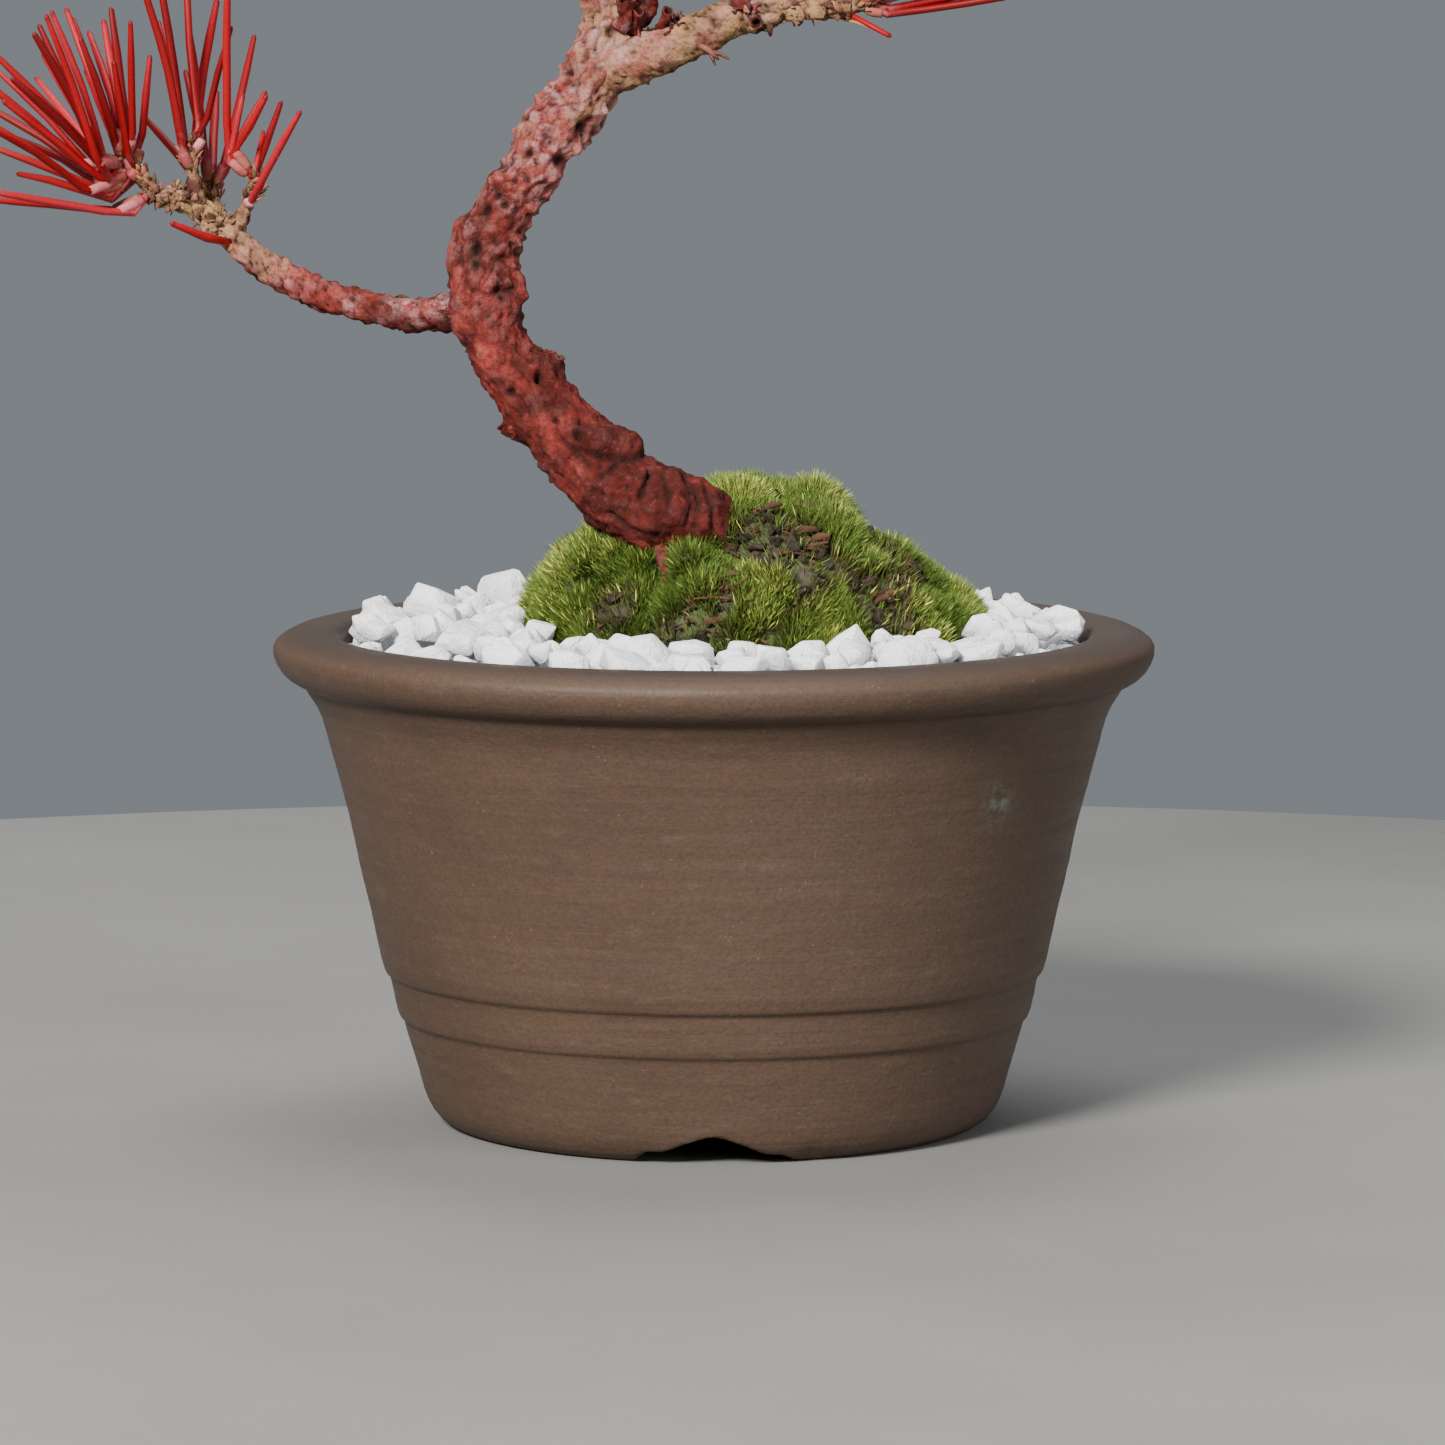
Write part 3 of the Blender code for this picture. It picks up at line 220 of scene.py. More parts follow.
# Folds and rolls on the front of the root stock: depth, width, then points of x and z
FOLDS = [
    (0.9, 0.35, [(-15.3, 88.9), (-12.9, 90.8)]), (1.3, 0.38, [(-9.9, 86.5), (-8.6, 89.6)]),
    (0.6, 0.3, [(-6.5, 83.8), (-5.9, 86.8), (-6.9, 89.2)]),
    (0.8, 0.28, [(-4.3, 82.7), (-3.2, 85.6), (-3.4, 88), (-4.4, 89.5)]),
    (0.8, 0.28, [(-2.5, 82.2), (-2.1, 85.6), (-2.8, 88), (-3.6, 89.1)]),
    (0.6, 0.3, [(-0.3, 82.2), (-0.3, 85.2), (-1.1, 87.2)]),
    (1.2, 0.4, [(-17.2, 92.4), (-14.6, 91.8), (-12, 91.6), (-9.2, 91.8)]),
    (0.6, 0.35, [(-14.2, 84), (-11, 82.4), (-7.6, 81.8)]),
    (0.6, 0.4, [(-20.6, 93.9), (-18.4, 92.4), (-17, 90.6)]),
]
ROLLS = [
    (1.9, 1.25, [(-16.6, 94.1), (-13.6, 94.4), (-9.9, 93)]),
    (0.8, 1.2, [(-4.9, 83.4), (-4.4, 87.5), (-5.4, 89.5)]),
    (0.6, 1, [(-1.3, 82.4), (-1.3, 85.6), (-2.2, 88)]), (0.7, 1.6, [(-8.2, 83), (-7.6, 86.5)]),
]
# Pits on the front of the trunk: x, z, radius, depth
PITS = [
    (-32.6, 119.4, 1.05, 1.7), (-32.4, 117.2, 0.7, 0.9), (-29, 113.9, 0.5, 0.9), (-27.8, 113.8, 0.5, 0.9),
    (-29.2, 126.6, 0.45, 0.6), (-20.6, 131, 0.8, 0.9), (-27.5, 100, 0.55, 1), (-23.4, 102.1, 0.6, 1),
    (-18.2, 94.6, 0.5, 0.9), (-21.4, 96.5, 0.4, 0.6), (-35, 117.6, 0.6, 1), (-28.6, 112.8, 0.5, 0.7),
    (-23.3, 102.3, 0.5, 0.9), (-28.9, 130.4, 0.5, 0.8), (-25.2, 132.4, 0.65, 0.9), (-31.2, 124.8, 0.6, 0.9),
    (-28.1, 125.3, 0.5, 0.7), (-25.5, 137, 0.6, 0.8), (-17.4, 135.2, 0.9, 1.2), (-20.2, 143.4, 0.55, 0.8),
    (-9.4, 141.9, 0.6, 0.6),
]
# Stubs of cut shoots: foot x, y, z, end x, y, z, radius
STUBS = [
    (-12.6, -1.4, 149.4, -11.9, -4.6, 153, 1.1), (-10.8, -1.4, 148.6, -10.1, -4, 151.4, 0.75),
    (-10.2, -0.4, 149.6, -8.2, -2.2, 153.8, 0.95), (-7.6, -1.6, 148.4, -6.2, -4.4, 151.4, 0.7),
    (-11.2, 1.6, 150.6, -8.6, 1.8, 156.4, 0.9), (5.4, -4.2, 151, 5.7, -6.8, 149.8, 0.78),
    (2.8, -2.2, 151.2, 3.4, -2.8, 154.6, 0.7), (-23.6, -1.4, 102.6, -21.5, -1.7, 105.2, 1.35),
    (-25.4, -1.4, 97, -27.9, -2, 94.6, 1.5),
]
# Torn scales: start x, y, z, end x, y, z, half width, red paint and darkness
SCALES = [
    (-2.4, -3.4, 147, 0.6, -4.8, 144.9, 1.35, 0.3, 0.32),
    (-1.4, -3.4, 146.8, 0.2, -4.6, 144.1, 0.95, 0.3, 0.4),
    (-0.4, -3.8, 146, 2, -4.8, 144.9, 0.85, 0.28, 0.34),
    (17.4, -5.6, 150.2, 20.6, -6.8, 149.2, 0.2, 0, -0.2),
    (17.6, -5.4, 150.6, 22.2, -6.2, 148.6, 0.16, 0, -0.2), (7, -4.6, 150.4, 7.6, -5.6, 148, 0.6, 0, 0.93),
    (9.2, -5.2, 151.8, 12, -6.8, 150.4, 1.55, 0.1, 0), (11.8, -5.4, 151.9, 14.8, -6.9, 150.8, 1.5, 0.08, 0),
    (14.2, -5.4, 152, 17.2, -6.6, 151.6, 1.1, 0.2, 0.2),
    (10.6, -5.2, 151.2, 11.2, -6.6, 149.6, 0.8, 0.1, 0.4),
    (2.4, -4.6, 152.8, 4.9, -6.6, 151.9, 1.2, 0.82, 0),
    (2.6, -4.2, 150.2, 4.2, -5.4, 148.7, 0.75, 0.2, 0.5),
    (-9.4, -4, 142.6, -8.8, -4.6, 141.5, 0.45, 0.3, 0.95),
]
# Torn bark and dead bud scales in heaps on the bark: x, y, z, spread, how many, least and most red, darkness
HEAPS = [
    (-9.8, -2.6, 151.6, 2.2, 44, 0.6, 0.98, 0.5), (-5.2, -3, 150.6, 1.8, 22, 0.3, 0.8, 0.5),
    (4, -5, 151.8, 1.6, 22, 0.1, 0.6, 0.5), (11, -5.6, 151.6, 2.4, 26, 0, 0.4, 0.35),
    (15.4, -5.6, 152, 1.6, 16, 0.1, 0.5, 0.35), (-21.4, -2.4, 104.8, 1.5, 14, 0.75, 0.95, 0.3),
    (-27.4, -2, 95, 1.7, 16, 0.8, 1, 0.4), (-68.5, 12.4, 122.4, 2.4, 44, 0, 0.25, 0.25),
    (-73.6, 14, 125.6, 2.4, 44, 0, 0.25, 0.22), (-78, 14, 127, 1.8, 30, 0.05, 0.6, 0.3),
]


class Spray(namedtuple("Spray", "name root base axis core needles length lean")):
    """A spray of needles: its row in the table, and what follows from it."""

    @property
    def seen(self):
        """Whether the photo shows its needles."""
        return self.name in SEEN

    @property
    def shown(self):
        """The share of its core's length that is built."""
        return SEEN_CORE if self.seen else 1

    @property
    def way(self):
        return Vector(self.axis).normalized()

    @property
    def start(self):
        """Where its twig leaves the wood."""
        return self.root or tuple(Vector(self.base) - self.way)

    @property
    def foot(self):
        """Where its twig ends and its core starts."""
        return Vector(self.base) + self.way * TWIG_COLLAR

    @property
    def head(self):
        """Where its core ends."""
        return self.foot + self.way * self.core * self.shown


# Each spray: name, where its twig leaves the wood, base, axis, core, how many needles, their length and lean
SPRAYS = [
    Spray("left_low_tip", None, LEFT_LOW[-1][:3], (-0.66, -0.02, 0.75), 11, 32, 31, 40),
    Spray("left_low_inner", LEFT_LOW[9][:3], (-71.6, 14.4, 128.6), (-0.1, -0.12, 1), 7, 11, 31, 26),
    Spray("left_low_side", (-65.9, 13.2, 120.2), (-64.2, 13.4, 124.2), (0.42, -0.05, 0.9), 6, 8, 17, 16),
    Spray("left_low_back", (-68.4, 14.1, 122.3), (-68.6, 18.4, 124.2), (-0.3, 0.66, 0.68), 7, 12, 24, 38),
    Spray("right_low_shoot", None, RIGHT_LOW_SHOOT[-1][:3], (0.88, -0.1, 0.46), 6, 11, 24, 26),
    Spray("right_low_tip", None, RIGHT_LOW[-1][:3], (0.85, 0, 0.52), 11, 27, 37, 62),
    Spray("right_low_front", RIGHT_LOW[8][:3], (45.5, -12.6, 170.6), (0.4, -0.6, 0.7), 8.5, 19, 29, 58),
    Spray("right_low_back", (31, -7.9, 163.2), (31.6, -3.6, 166.8), (0.1, 0.62, 0.78), 8.5, 19, 29, 58),
    Spray("left_middle_tip", None, LEFT_MIDDLE[-1][:3], (-0.62, 0.1, 0.78), 11, 25, 31, 62),
    Spray("left_middle_back", LEFT_MIDDLE[3][:3], (-38.4, 15.4, 174.6), (-0.3, 0.66, 0.7), 8.5, 19, 28, 58),
    Spray("left_middle_front", LEFT_MIDDLE[2][:3], (-28.6, 4.4, 170.4), (-0.4, -0.6, 0.7), 8.5, 19, 28, 58),
    Spray("back_tip", None, BACK[-1][:3], (0.15, 0.6, 0.78), 10, 23, 28, 60),
    Spray("back_side", BACK[2][:3], (-6.8, 20.4, 175.8), (-0.55, 0.4, 0.75), 8.5, 18, 27, 56),
    Spray("front_tip", None, FRONT[-1][:3], (0, -0.58, 0.8), 10, 23, 28, 60),
    Spray("front_side", (-10.6, -11, 180.7), (-15, -12.6, 183.2), (-0.62, -0.2, 0.75), 8.5, 18, 27, 56),
    Spray("right_middle_tip", None, RIGHT_MIDDLE[-1][:3], (0.66, 0.1, 0.74), 11, 24, 30, 60),
    Spray("right_middle_back", RIGHT_MIDDLE[2][:3], (16.4, 8.4, 192), (0.2, 0.66, 0.72), 8.5, 18, 27, 56),
    Spray("right_middle_front", (12, 3.3, 188.2), (14, -1, 191), (0.4, -0.6, 0.7), 8.5, 18, 27, 56),
    Spray("left_top", None, LEFT_TOP[-1][:3], (-0.6, 0.05, 0.8), 10, 22, 28, 58),
    Spray("apex_side", (0.8, -0.6, 195.4), (4.8, -3, 199.2), (0.52, -0.4, 0.76), 8.5, 18, 26, 56),
    Spray("apex", None, TRUNK[-1][:3], (0, 0.05, 1), 12, 26, 28, 62),
]
TWIG_COLLAR = 1.2
ROOT_MARGIN = (1.6, 1.4)
TIP_LEAN = 9
NEEDLE_RISE = 0.12
CROWN_HALF_SIZE = (102, 58)
CROWN_BOTTOM = 154.5
NEEDLE_RADIUS = 0.64
NEEDLE_SIDES = 6
SHEATH_RADIUS = 0.72
SHEATH_LENGTH = 4.6
SEEN_CORE = 0.55
NEEDLE_SEED = 2
NEEDLE_TRIES = 40
# Radii of the rods that keep needles apart, and how clear they stay of each other
NEEDLE_ROD = 0.62
TWIG_ROD = 1.35
CORE_ROD = 1.45
CLEAR_OF_OWN = -0.1
CLEAR_OF_OTHERS = 0.45
TREE_OWNER = -1
NOT_A_CORE = -2

# Needles that the photo shows: where each leaves its sheath, then its tip
SEEN_TIP = [
    (-79.8, 13, 123.4, -98.5, -3, 127.3), (-80.8, 17, 123.6, -100.1, 6, 125.7),
    (-84.2, 12, 125.6, -97.6, -8, 136.1), (-83.7, 13, 125.3, -98.7, -4, 137.1),
    (-85, 14, 129, -100.1, 6, 142.5), (-84.8, 18, 128.4, -101.5, 24, 138.1),
    (-82.9, 14, 129.6, -98.5, 10, 145.6), (-83.4, 10, 128.6, -89.9, -2, 150.5),
    (-83.2, 12, 128.9, -91.9, 2, 148), (-82.9, 14, 128.9, -90.1, 8, 150.9),
    (-82.9, 17, 129.1, -92.5, 16, 148.8), (-82.1, 16, 132.8, -89.3, 22, 150.9),
    (-81.9, 18, 131.8, -89.1, 30, 149.4), (-81.4, 17, 133.2, -86.9, 30, 147.6),
    (-80.3, 15, 128.8, -82.5, 14, 151.1), (-79.8, 16, 129.1, -84.2, 22, 149.3),
    (-79.8, 14, 132, -79.1, 4, 149.5), (-79, 16, 130.5, -78.2, 26, 144.3), (-84, 19, 127, -98, 34, 133),
    (-83, 20, 128, -95, 38, 141), (-80, 19.5, 129, -84, 40, 145), (-83, 19, 125, -97, 31, 128),
    (-82, 18, 127.5, -93, 27, 144.5), (-81, 17, 128.5, -86.5, 12, 147), (-83.5, 15, 126.5, -99, 13, 132.5),
    (-82, 15, 127.8, -95, 3, 142), (-80.5, 17.5, 127.5, -87, 26, 142.5), (-80, 15, 127.6, -81.8, 9, 144),
    (-84.2, 16.5, 128.2, -99, 19, 143), (-82.4, 13.2, 127, -96, 1, 139),
]
SEEN_INNER = [
    (-72.2, 13, 129.3, -78.6, 8, 157.4), (-72.1, 14, 129.2, -76.6, 16, 158.8),
    (-70.6, 14, 132, -65.9, 10, 148.6), (-70.5, 15, 131.9, -72.7, 20, 158.4),
    (-71.6, 16.5, 130.5, -69, 28, 152), (-72.6, 16, 130, -77, 27, 149),
]
SEEN_SIDE = [
    (-66.4, 13, 129.7, -64.5, 12, 139.4), (-66.3, 14, 129.8, -66, 6, 157.1),
    (-66, 13, 131.1, -61.1, 8, 139.4), (-64, 11, 123.9, -56.3, 4, 137.4),
    (-63.9, 12, 124.3, -62, 16, 134.2), (-64.6, 14.6, 124.6, -60, 24, 138),
]
SEEN_BACK = [
    (-65.9, 12.4, 118.5, -73.6, 4, 122.4), (-69.2, 20, 127, -74, 36, 142), (-68.8, 20.4, 126, -63, 38, 139),
    (-70.2, 20, 126, -80, 35, 136), (-69.4, 21, 127.4, -70, 41, 139), (-70, 19, 128.4, -73, 28, 149),
    (-68.2, 19.4, 128, -64, 30, 147),
]
SEEN_SHOOT = [
    (20.9, -5, 151.3, 44.2, -7.6, 155.6), (20.6, -5.6, 150.8, 43.6, -8.6, 154.2),
    (16.8, -5.6, 151, 23.4, -7.2, 148.2), (20.4, -3.6, 152.6, 40, 6, 162.5),
    (20.8, -3.8, 152.2, 42, 5, 160), (20, -6.4, 152.8, 36, -20, 164), (20.6, -6, 152.6, 39, -17, 163),
    (19.4, -4.8, 153.6, 30, -3, 172), (19.8, -5.2, 153.4, 32.5, -8, 171),
]
SEEN = {
    "left_low_tip": SEEN_TIP,
    "left_low_inner": SEEN_INNER,
    "left_low_side": SEEN_SIDE,
    "left_low_back": SEEN_BACK,
    "right_low_shoot": SEEN_SHOOT,
}

# The photograph's camera, then the lights as name, place, size, power and colour. Places are in metres.
CAMERA_PLACE = (0, -1, 0.17218)
CAMERA_LENS = 183.72
CAMERA_TILT = 6.708
CAMERA_TURN = -0.0657
LIGHTS_AIM = (0, 0, 0.1)
LIGHTS = [
    ("key", (-0.56, -1.14, 0.83), 0.4, 62, (1, 0.975, 0.94)),
    ("top", (0.05, 0.3, 1.2), 0.8, 13, (0.97, 0.985, 1)),
    ("fill", (0.9, -0.7, 0.4), 0.9, 9, (0.94, 0.97, 1)),
]


def lattice(cell, seed):
    """A random number from 0 to 1 for each cell of a grid."""
    x, y, z = (np.asarray(cell)[..., k].astype(np.int64) for k in range(3))
    mixed = (x * 73856093) ^ (y * 19349663) ^ (z * 83492791) ^ (seed * 2654435761)
    mixed = (mixed ^ (mixed >> 13)) * 1274126177
    return ((mixed ^ (mixed >> 16)) & 0xFFFFFF) / 0xFFFFFF


def soft_noise(points, grain, seed=0):
    """Smooth noise from -1 to 1 at points in millimetres."""
    place = np.asarray(points) / grain
    cell = np.floor(place)
    share = place - cell
    share = share * share * (3 - 2 * share)
    total = 0.0
    for corner in np.ndindex(2, 2, 2):
        weight = np.prod(np.where(corner, share, 1 - share), axis=-1)
        total = total + weight * lattice(cell + corner, seed)
    return 2 * total - 1


def ramp(value, low, high):
    """A smooth step from 0 at low to 1 at high."""
    share = np.clip((np.asarray(value, dtype=float) - low) / (high - low), 0, 1)
    return share * share * (3 - 2 * share)


def held(value):
    """A number held between 0 and 1."""
    return np.clip(value, 0, 1)


def bell(value):
    """1 at 0, falling softly to 0 on both sides."""
    return np.exp(-(value**2))


def softened(grid, rounds):
    """A grid of rings and sides averaged with its neighbours."""
    for _ in range(rounds):
        padded = np.vstack([grid[:1], grid, grid[-1:]])
        grid = 0.25 * padded[:-2] + 0.5 * grid + 0.25 * padded[2:]
        grid = 0.25 * np.roll(grid, 1, axis=1) + 0.5 * grid + 0.25 * np.roll(grid, -1, axis=1)
    return grid


def turns(count):
    """Even turns once round a circle, as angles."""
    return np.arange(count) * 2 * np.pi / count


def flat_rings(radii, sides):
    """Rings of points round the origin at height 0, as a grid of rings and sides."""
    turn = turns(sides)
    return np.array(radii)[:, None, None] * np.stack([np.cos(turn), np.sin(turn), 0 * turn], axis=-1)


def sized(places, radii):
    """Rows of x, y, z and radius from places and their radii."""
    return np.array([(*place, radius) for place, radius in zip(places, radii)])


def unit(ways):
    """Directions brought to length one."""
    return ways / np.linalg.norm(ways, axis=-1, keepdims=True)


def steady_axis(way):
    """The axis that lies most across a direction."""
    return np.eye(3)[int(np.argmin(np.abs(way)))]


def lengths_along(route):
    """How far along a route each of its points lies."""
    return np.r_[0, np.cumsum(np.linalg.norm(np.diff(route[:, :3], axis=0), axis=1))]


def new_object(name, data):
    """Put a new object into the scene."""
    item = bpy.data.objects.new(name, data)
    bpy.context.scene.collection.objects.link(item)
    return item


class Shape:
    """Points and faces gathered for one piece, in millimetres, with named numbers at the points."""

    def __init__(self):
        self.points = []
        self.faces = []
        self.marks = {}
        self.count = 0

    def add(self, points, faces, **marks):
        """Add points, faces and numbers; every call for one shape names the same numbers."""
        points = np.asarray(points, dtype=float).reshape(-1, 3)
        self.faces += [np.asarray(block) + self.count for block in faces]
        for name, value in marks.items():
            self.marks.setdefault(name, []).append(np.broadcast_to(np.ravel(value), len(points)))
        self.points.append(points)
        self.count += len(points)

    def build(self, name, material, smooth=True):
        mesh = bpy.data.meshes.new(name)
        faces = [row for block in self.faces for row in block.tolist()]
        mesh.from_pydata((np.vstack(self.points) * MM).tolist(), [], faces)
        for mark, rows in sorted(self.marks.items()):
            layer = mesh.attributes.new(mark, "FLOAT", "POINT")
            layer.data.foreach_set("value", np.concatenate(rows).astype(np.float32))
        if smooth:
            mesh.shade_smooth()
        mesh.materials.append(material)
        mesh.update()
        return new_object(name, mesh)


def grid_faces(rows, columns):
    """Quads of a grid of rows and columns; the columns close on themselves."""
    row, column = np.meshgrid(np.arange(rows - 1), np.arange(columns), indexing="ij")
    following = (column + 1) % columns
    low, high = row * columns, (row + 1) * columns
    corners = [low + column, low + following, high + following, high + column]
    return np.stack(corners, axis=-1).reshape(-1, 4)


def fan_faces(centre, ring, flip=False):
    """Triangles from a centre point to a ring of point numbers."""
    following = np.roll(ring, -1)
    middle = np.full(len(ring), centre)
    return np.stack([middle, following, ring] if flip else [middle, ring, following], axis=-1)


def fine_route(points, spacing):
    """A smooth line through points of x, y, z and radius, with even spacing."""
    rows = np.array(points, dtype=float)
    rows = np.vstack([2 * rows[0] - rows[1], rows, 2 * rows[-1] - rows[-2]])
    share = np.linspace(0, 1, 12, endpoint=False)[:, None]
    dense = []
    for k in range(1, len(rows) - 2):
        before, start, end, after = rows[k - 1 : k + 3]
        bend = 2 * before - 5 * start + 4 * end - after
        twist = 3 * start - before - 3 * end + after
        dense.append(start + 0.5 * share * ((end - before) + share * (bend + share * twist)))
    dense = np.vstack([*dense, rows[-2]])
    length = lengths_along(dense)
    even = np.linspace(0, length[-1], max(2, int(length[-1] / spacing) + 1))
    return np.stack([np.interp(even, length, dense[:, k]) for k in range(4)], axis=1)


def route_frame(route, reference=None, way=None):
    """Directions along and across a route; way makes every ring face one way."""
    if way is None:
        along = unit(np.gradient(route[:, :3], axis=0))
    else:
        along = np.tile(way, (len(route), 1))
    if reference is None:
        reference = steady_axis(route[-1, :3] - route[0, :3])
    front = unit(reference - along * (along @ reference)[:, None])
    return along, front, np.cross(along, front)


def ring_points(route, sides, front, side, radius, flatten=1.0):
    """The points of the rings round a route, as a grid of rings and sides."""
    across = radius * np.cos(turns(sides))
    aside = radius * np.sin(turns(sides)) * flatten
    return route[:, None, :3] + across[..., None] * front[:, None] + aside[..., None] * side[:, None]


def plain_tube(route, sides, reference=None, way=None):
    """Points, turns and distances along a tube without relief, as grids of rings and sides."""
    _, front, side = route_frame(route, reference, way)
    points = ring_points(route, sides, front, side, route[:, 3:])
    along = np.repeat(lengths_along(route)[:, None], sides, axis=1)
    return points, np.broadcast_to(turns(sides), along.shape), along


def tube(shape, route, sides, reference=None, way=None, flatten=1.0, relief=0.0, slide=0.0, **marks):
    """Add a closed tube along a route; relief and slide move its points outward and along it."""
    rings = len(route)
    along, front, side = route_frame(route, reference, way)
    points = ring_points(route, sides, front, side, route[:, 3:] + relief, flatten)
    points = points + np.broadcast_to(slide, (rings, sides))[..., None] * along[:, None]
    points = np.vstack([points.reshape(-1, 3), route[0, :3], route[-1, :3]])
    first = np.arange(sides)
    start_cap = fan_faces(rings * sides, first, flip=True)
    end_cap = fan_faces(rings * sides + 1, first + (rings - 1) * sides)
    for name, value in marks.items():
        value = np.asarray(value, dtype=float)
        value = value[:, None] if value.ndim == 1 else value
        value = np.broadcast_to(value, (rings, sides)).reshape(-1)
        marks[name] = np.r_[value, value[:sides].mean(), value[-sides:].mean()]
    shape.add(points, [grid_faces(rings, sides), start_cap, end_cap], **marks)


class Nodes:
    """A short way to write a material's nodes."""

    def __init__(self, name):
        self.material = bpy.data.materials.new(name)
        self.material.use_nodes = True
        self.tree = self.material.node_tree
        self.shader = self.tree.nodes["Principled BSDF"]
        self.place = self.tree.nodes.new("ShaderNodeTexCoord").outputs["Object"]

    def put(self, socket, value):
        """Link a value to a socket, or set the socket to a plain number or colour."""
        if isinstance(value, bpy.types.NodeSocket):
            self.tree.links.new(value, socket)
        elif value is not None:
            socket.default_value = (*value, 1.0) if socket.type == "RGBA" else value

    def make(self, kind, inputs, **settings):
        node = self.tree.nodes.new("ShaderNode" + kind)
        for key, value in settings.items():
            setattr(node, key, value)
        for key, value in inputs.items():
            self.put(node.inputs[key], value)
        return node

    def stretched(self, scale):
        """Object coordinates stretched by a scale for each axis."""
        return self.make("Mapping", {"Vector": self.place, "Scale": scale}).outputs["Vector"]

    def noise(self, per_metre, detail=3, rough=0.55, place=None, twist=0):
        settings = {"Scale": per_metre, "Detail": detail, "Roughness": rough, "Distortion": twist}
        return self.make("TexNoise", {"Vector": place or self.place, **settings}).outputs["Fac"]

    def cells(self, per_metre):
        return self.make("TexVoronoi", {"Vector": self.place, "Scale": per_metre}).outputs["Distance"]

    def mark(self, name):
        return self.make("Attribute", {}, attribute_name=name).outputs["Fac"]

    def span(self, value, low, high, to_low=0, to_high=1):
        """Stretch the span from low to high of a value to another span, with its ends held."""
        ends = {"Value": value, "From Min": low, "From Max": high, "To Min": to_low, "To Max": to_high}
        return self.make("MapRange", ends).outputs["Result"]

    def math(self, operation, first, second):
        return self.make("Math", {0: first, 1: second}, operation=operation).outputs[0]

    def times(self, first, second):
        return self.math("MULTIPLY", first, second)

    def colours(self, value, stops):
        """A colour for each value: stops of position and colour."""
        node = self.make("ValToRGB", {"Fac": value})
        elements = node.color_ramp.elements
        while len(elements) < len(stops):
            elements.new(0.5)
        for element, (position, colour) in zip(elements, stops):
            element.position = position
            element.color = (*colour, 1)
        return node.outputs["Color"]

    def blend(self, share, first, second):
        return self.make("Mix", {0: share, 6: first, 7: second}, data_type="RGBA").outputs[2]

    def layer(self, colour, other, value, low, high, most=1):
        """Lay another colour over the first as a value rises from low to high."""
        return self.blend(self.span(value, low, high, 0, most), colour, other)

    def bump(self, height, distance_mm, strength=1, below=None):
        inputs = {"Height": height, "Distance": distance_mm * MM, "Strength": strength, "Normal": below}
        return self.make("Bump", inputs).outputs["Normal"]

    def finish(self, colour, rough, normal=None, gloss=0.5, metallic=0):
        """Set the shader and give back the material."""
        self.put(self.shader.inputs["Base Color"], colour)
        self.put(self.shader.inputs["Roughness"], rough)
        self.put(self.shader.inputs["Normal"], normal)
        self.shader.inputs["Specular IOR Level"].default_value = gloss
        self.shader.inputs["Metallic"].default_value = metallic
        return self.material


def clay_material():
    """Matte brown stoneware: streaks from throwing, grain, reddish and pale specks, and painted shade on the
    lip's top and inner rim.
    """
    n = Nodes("unglazed_clay")
    streak = n.noise(95, 4, 0.6, n.stretched((0.3, 0.3, 7)))
    smear = n.noise(210, 3, 0.6, n.stretched((1, 1, 3.5)))
    grain = n.noise(1700, 4, 0.75)
    light_brown = (0.0751, 0.0465, 0.0304)
    stops = [(0.3, (0.0537, 0.0313, 0.0195)), (0.5, (0.0686, 0.0408, 0.0256)), (0.7, light_brown)]
    colour = n.colours(n.noise(24, twist=0.4), stops)
    colour = n.layer(colour, (0.055, 0.0364, 0.0261), streak, 0.35, 0.7, 0.34)
    colour = n.layer(colour, (0.0968, 0.0453, 0.0253), n.noise(520), 0.5, 0.72, 0.3)
    colour = n.layer(colour, (0.0968, 0.0699, 0.0517), smear, 0.56, 0.74, 0.35)
    speck = n.times(n.span(n.cells(1100), 0, 0.22, 1, 0), n.span(n.noise(300, 1), 0.6, 0.68))
    colour = n.blend(n.times(speck, 0.5), colour, (0.214, 0.174, 0.136))
    colour = n.layer(colour, (0.0336, 0.0214, 0.0155), grain, 0.4, 0.72, 0.6)
    pale = n.times(n.mark("pale"), n.span(n.noise(700, 2), 0.42, 0.6))
    colour = n.blend(pale, colour, (0.09, 0.105, 0.08))
    # painted shade: the lip's upward-facing top and the inner rim above the gravel are darkened
    colour = n.blend(n.times(n.mark("stain"), 0.6), colour, (0.0323, 0.0239, 0.0194))
    low = n.bump(n.noise(260, 3, 0.6), 0.22, 0.55, n.bump(streak, 0.16, 0.6))
    rough = n.span(streak, 0.3, 0.7, 0.48, 0.62)
    return n.finish(colour, rough, n.bump(grain, 0.1, 0.9, low), gloss=0.27)


def stone_material():
    """White crushed marble: faint grey clouds, sugary broken faces, and painted shade on the stones' lower
    sides and on the bed.
    """
    n = Nodes("white_stone")
    stops = [(0.3, (0.88, 0.885, 0.895)), (0.5, (0.955, 0.955, 0.96)), (0.75, (0.97, 0.97, 0.965))]
    colour = n.colours(n.noise(150, 4, 0.6), stops)
    vein = n.math("PINGPONG", n.span(n.noise(230, 2, 0.5, twist=2), 0.485, 0.515), 0.5)
    colour = n.blend(n.times(vein, 0.3), colour, (0.62, 0.63, 0.66))
    fine = n.noise(1900, 4, 0.8)
    colour = n.layer(colour, (0.55, 0.56, 0.6), fine, 0.52, 0.7, 0.15)
    # grey over the stone: a random tone for each stone, plus painted shade on lower sides and on the bed
    colour = n.blend(n.mark("dust"), colour, (0.33, 0.34, 0.38))
    low = n.bump(n.noise(620, 4, 0.75), 0.9)
    return n.finish(colour, 0.85, n.bump(fine, 0.2, 0.8, low), gloss=0.15)


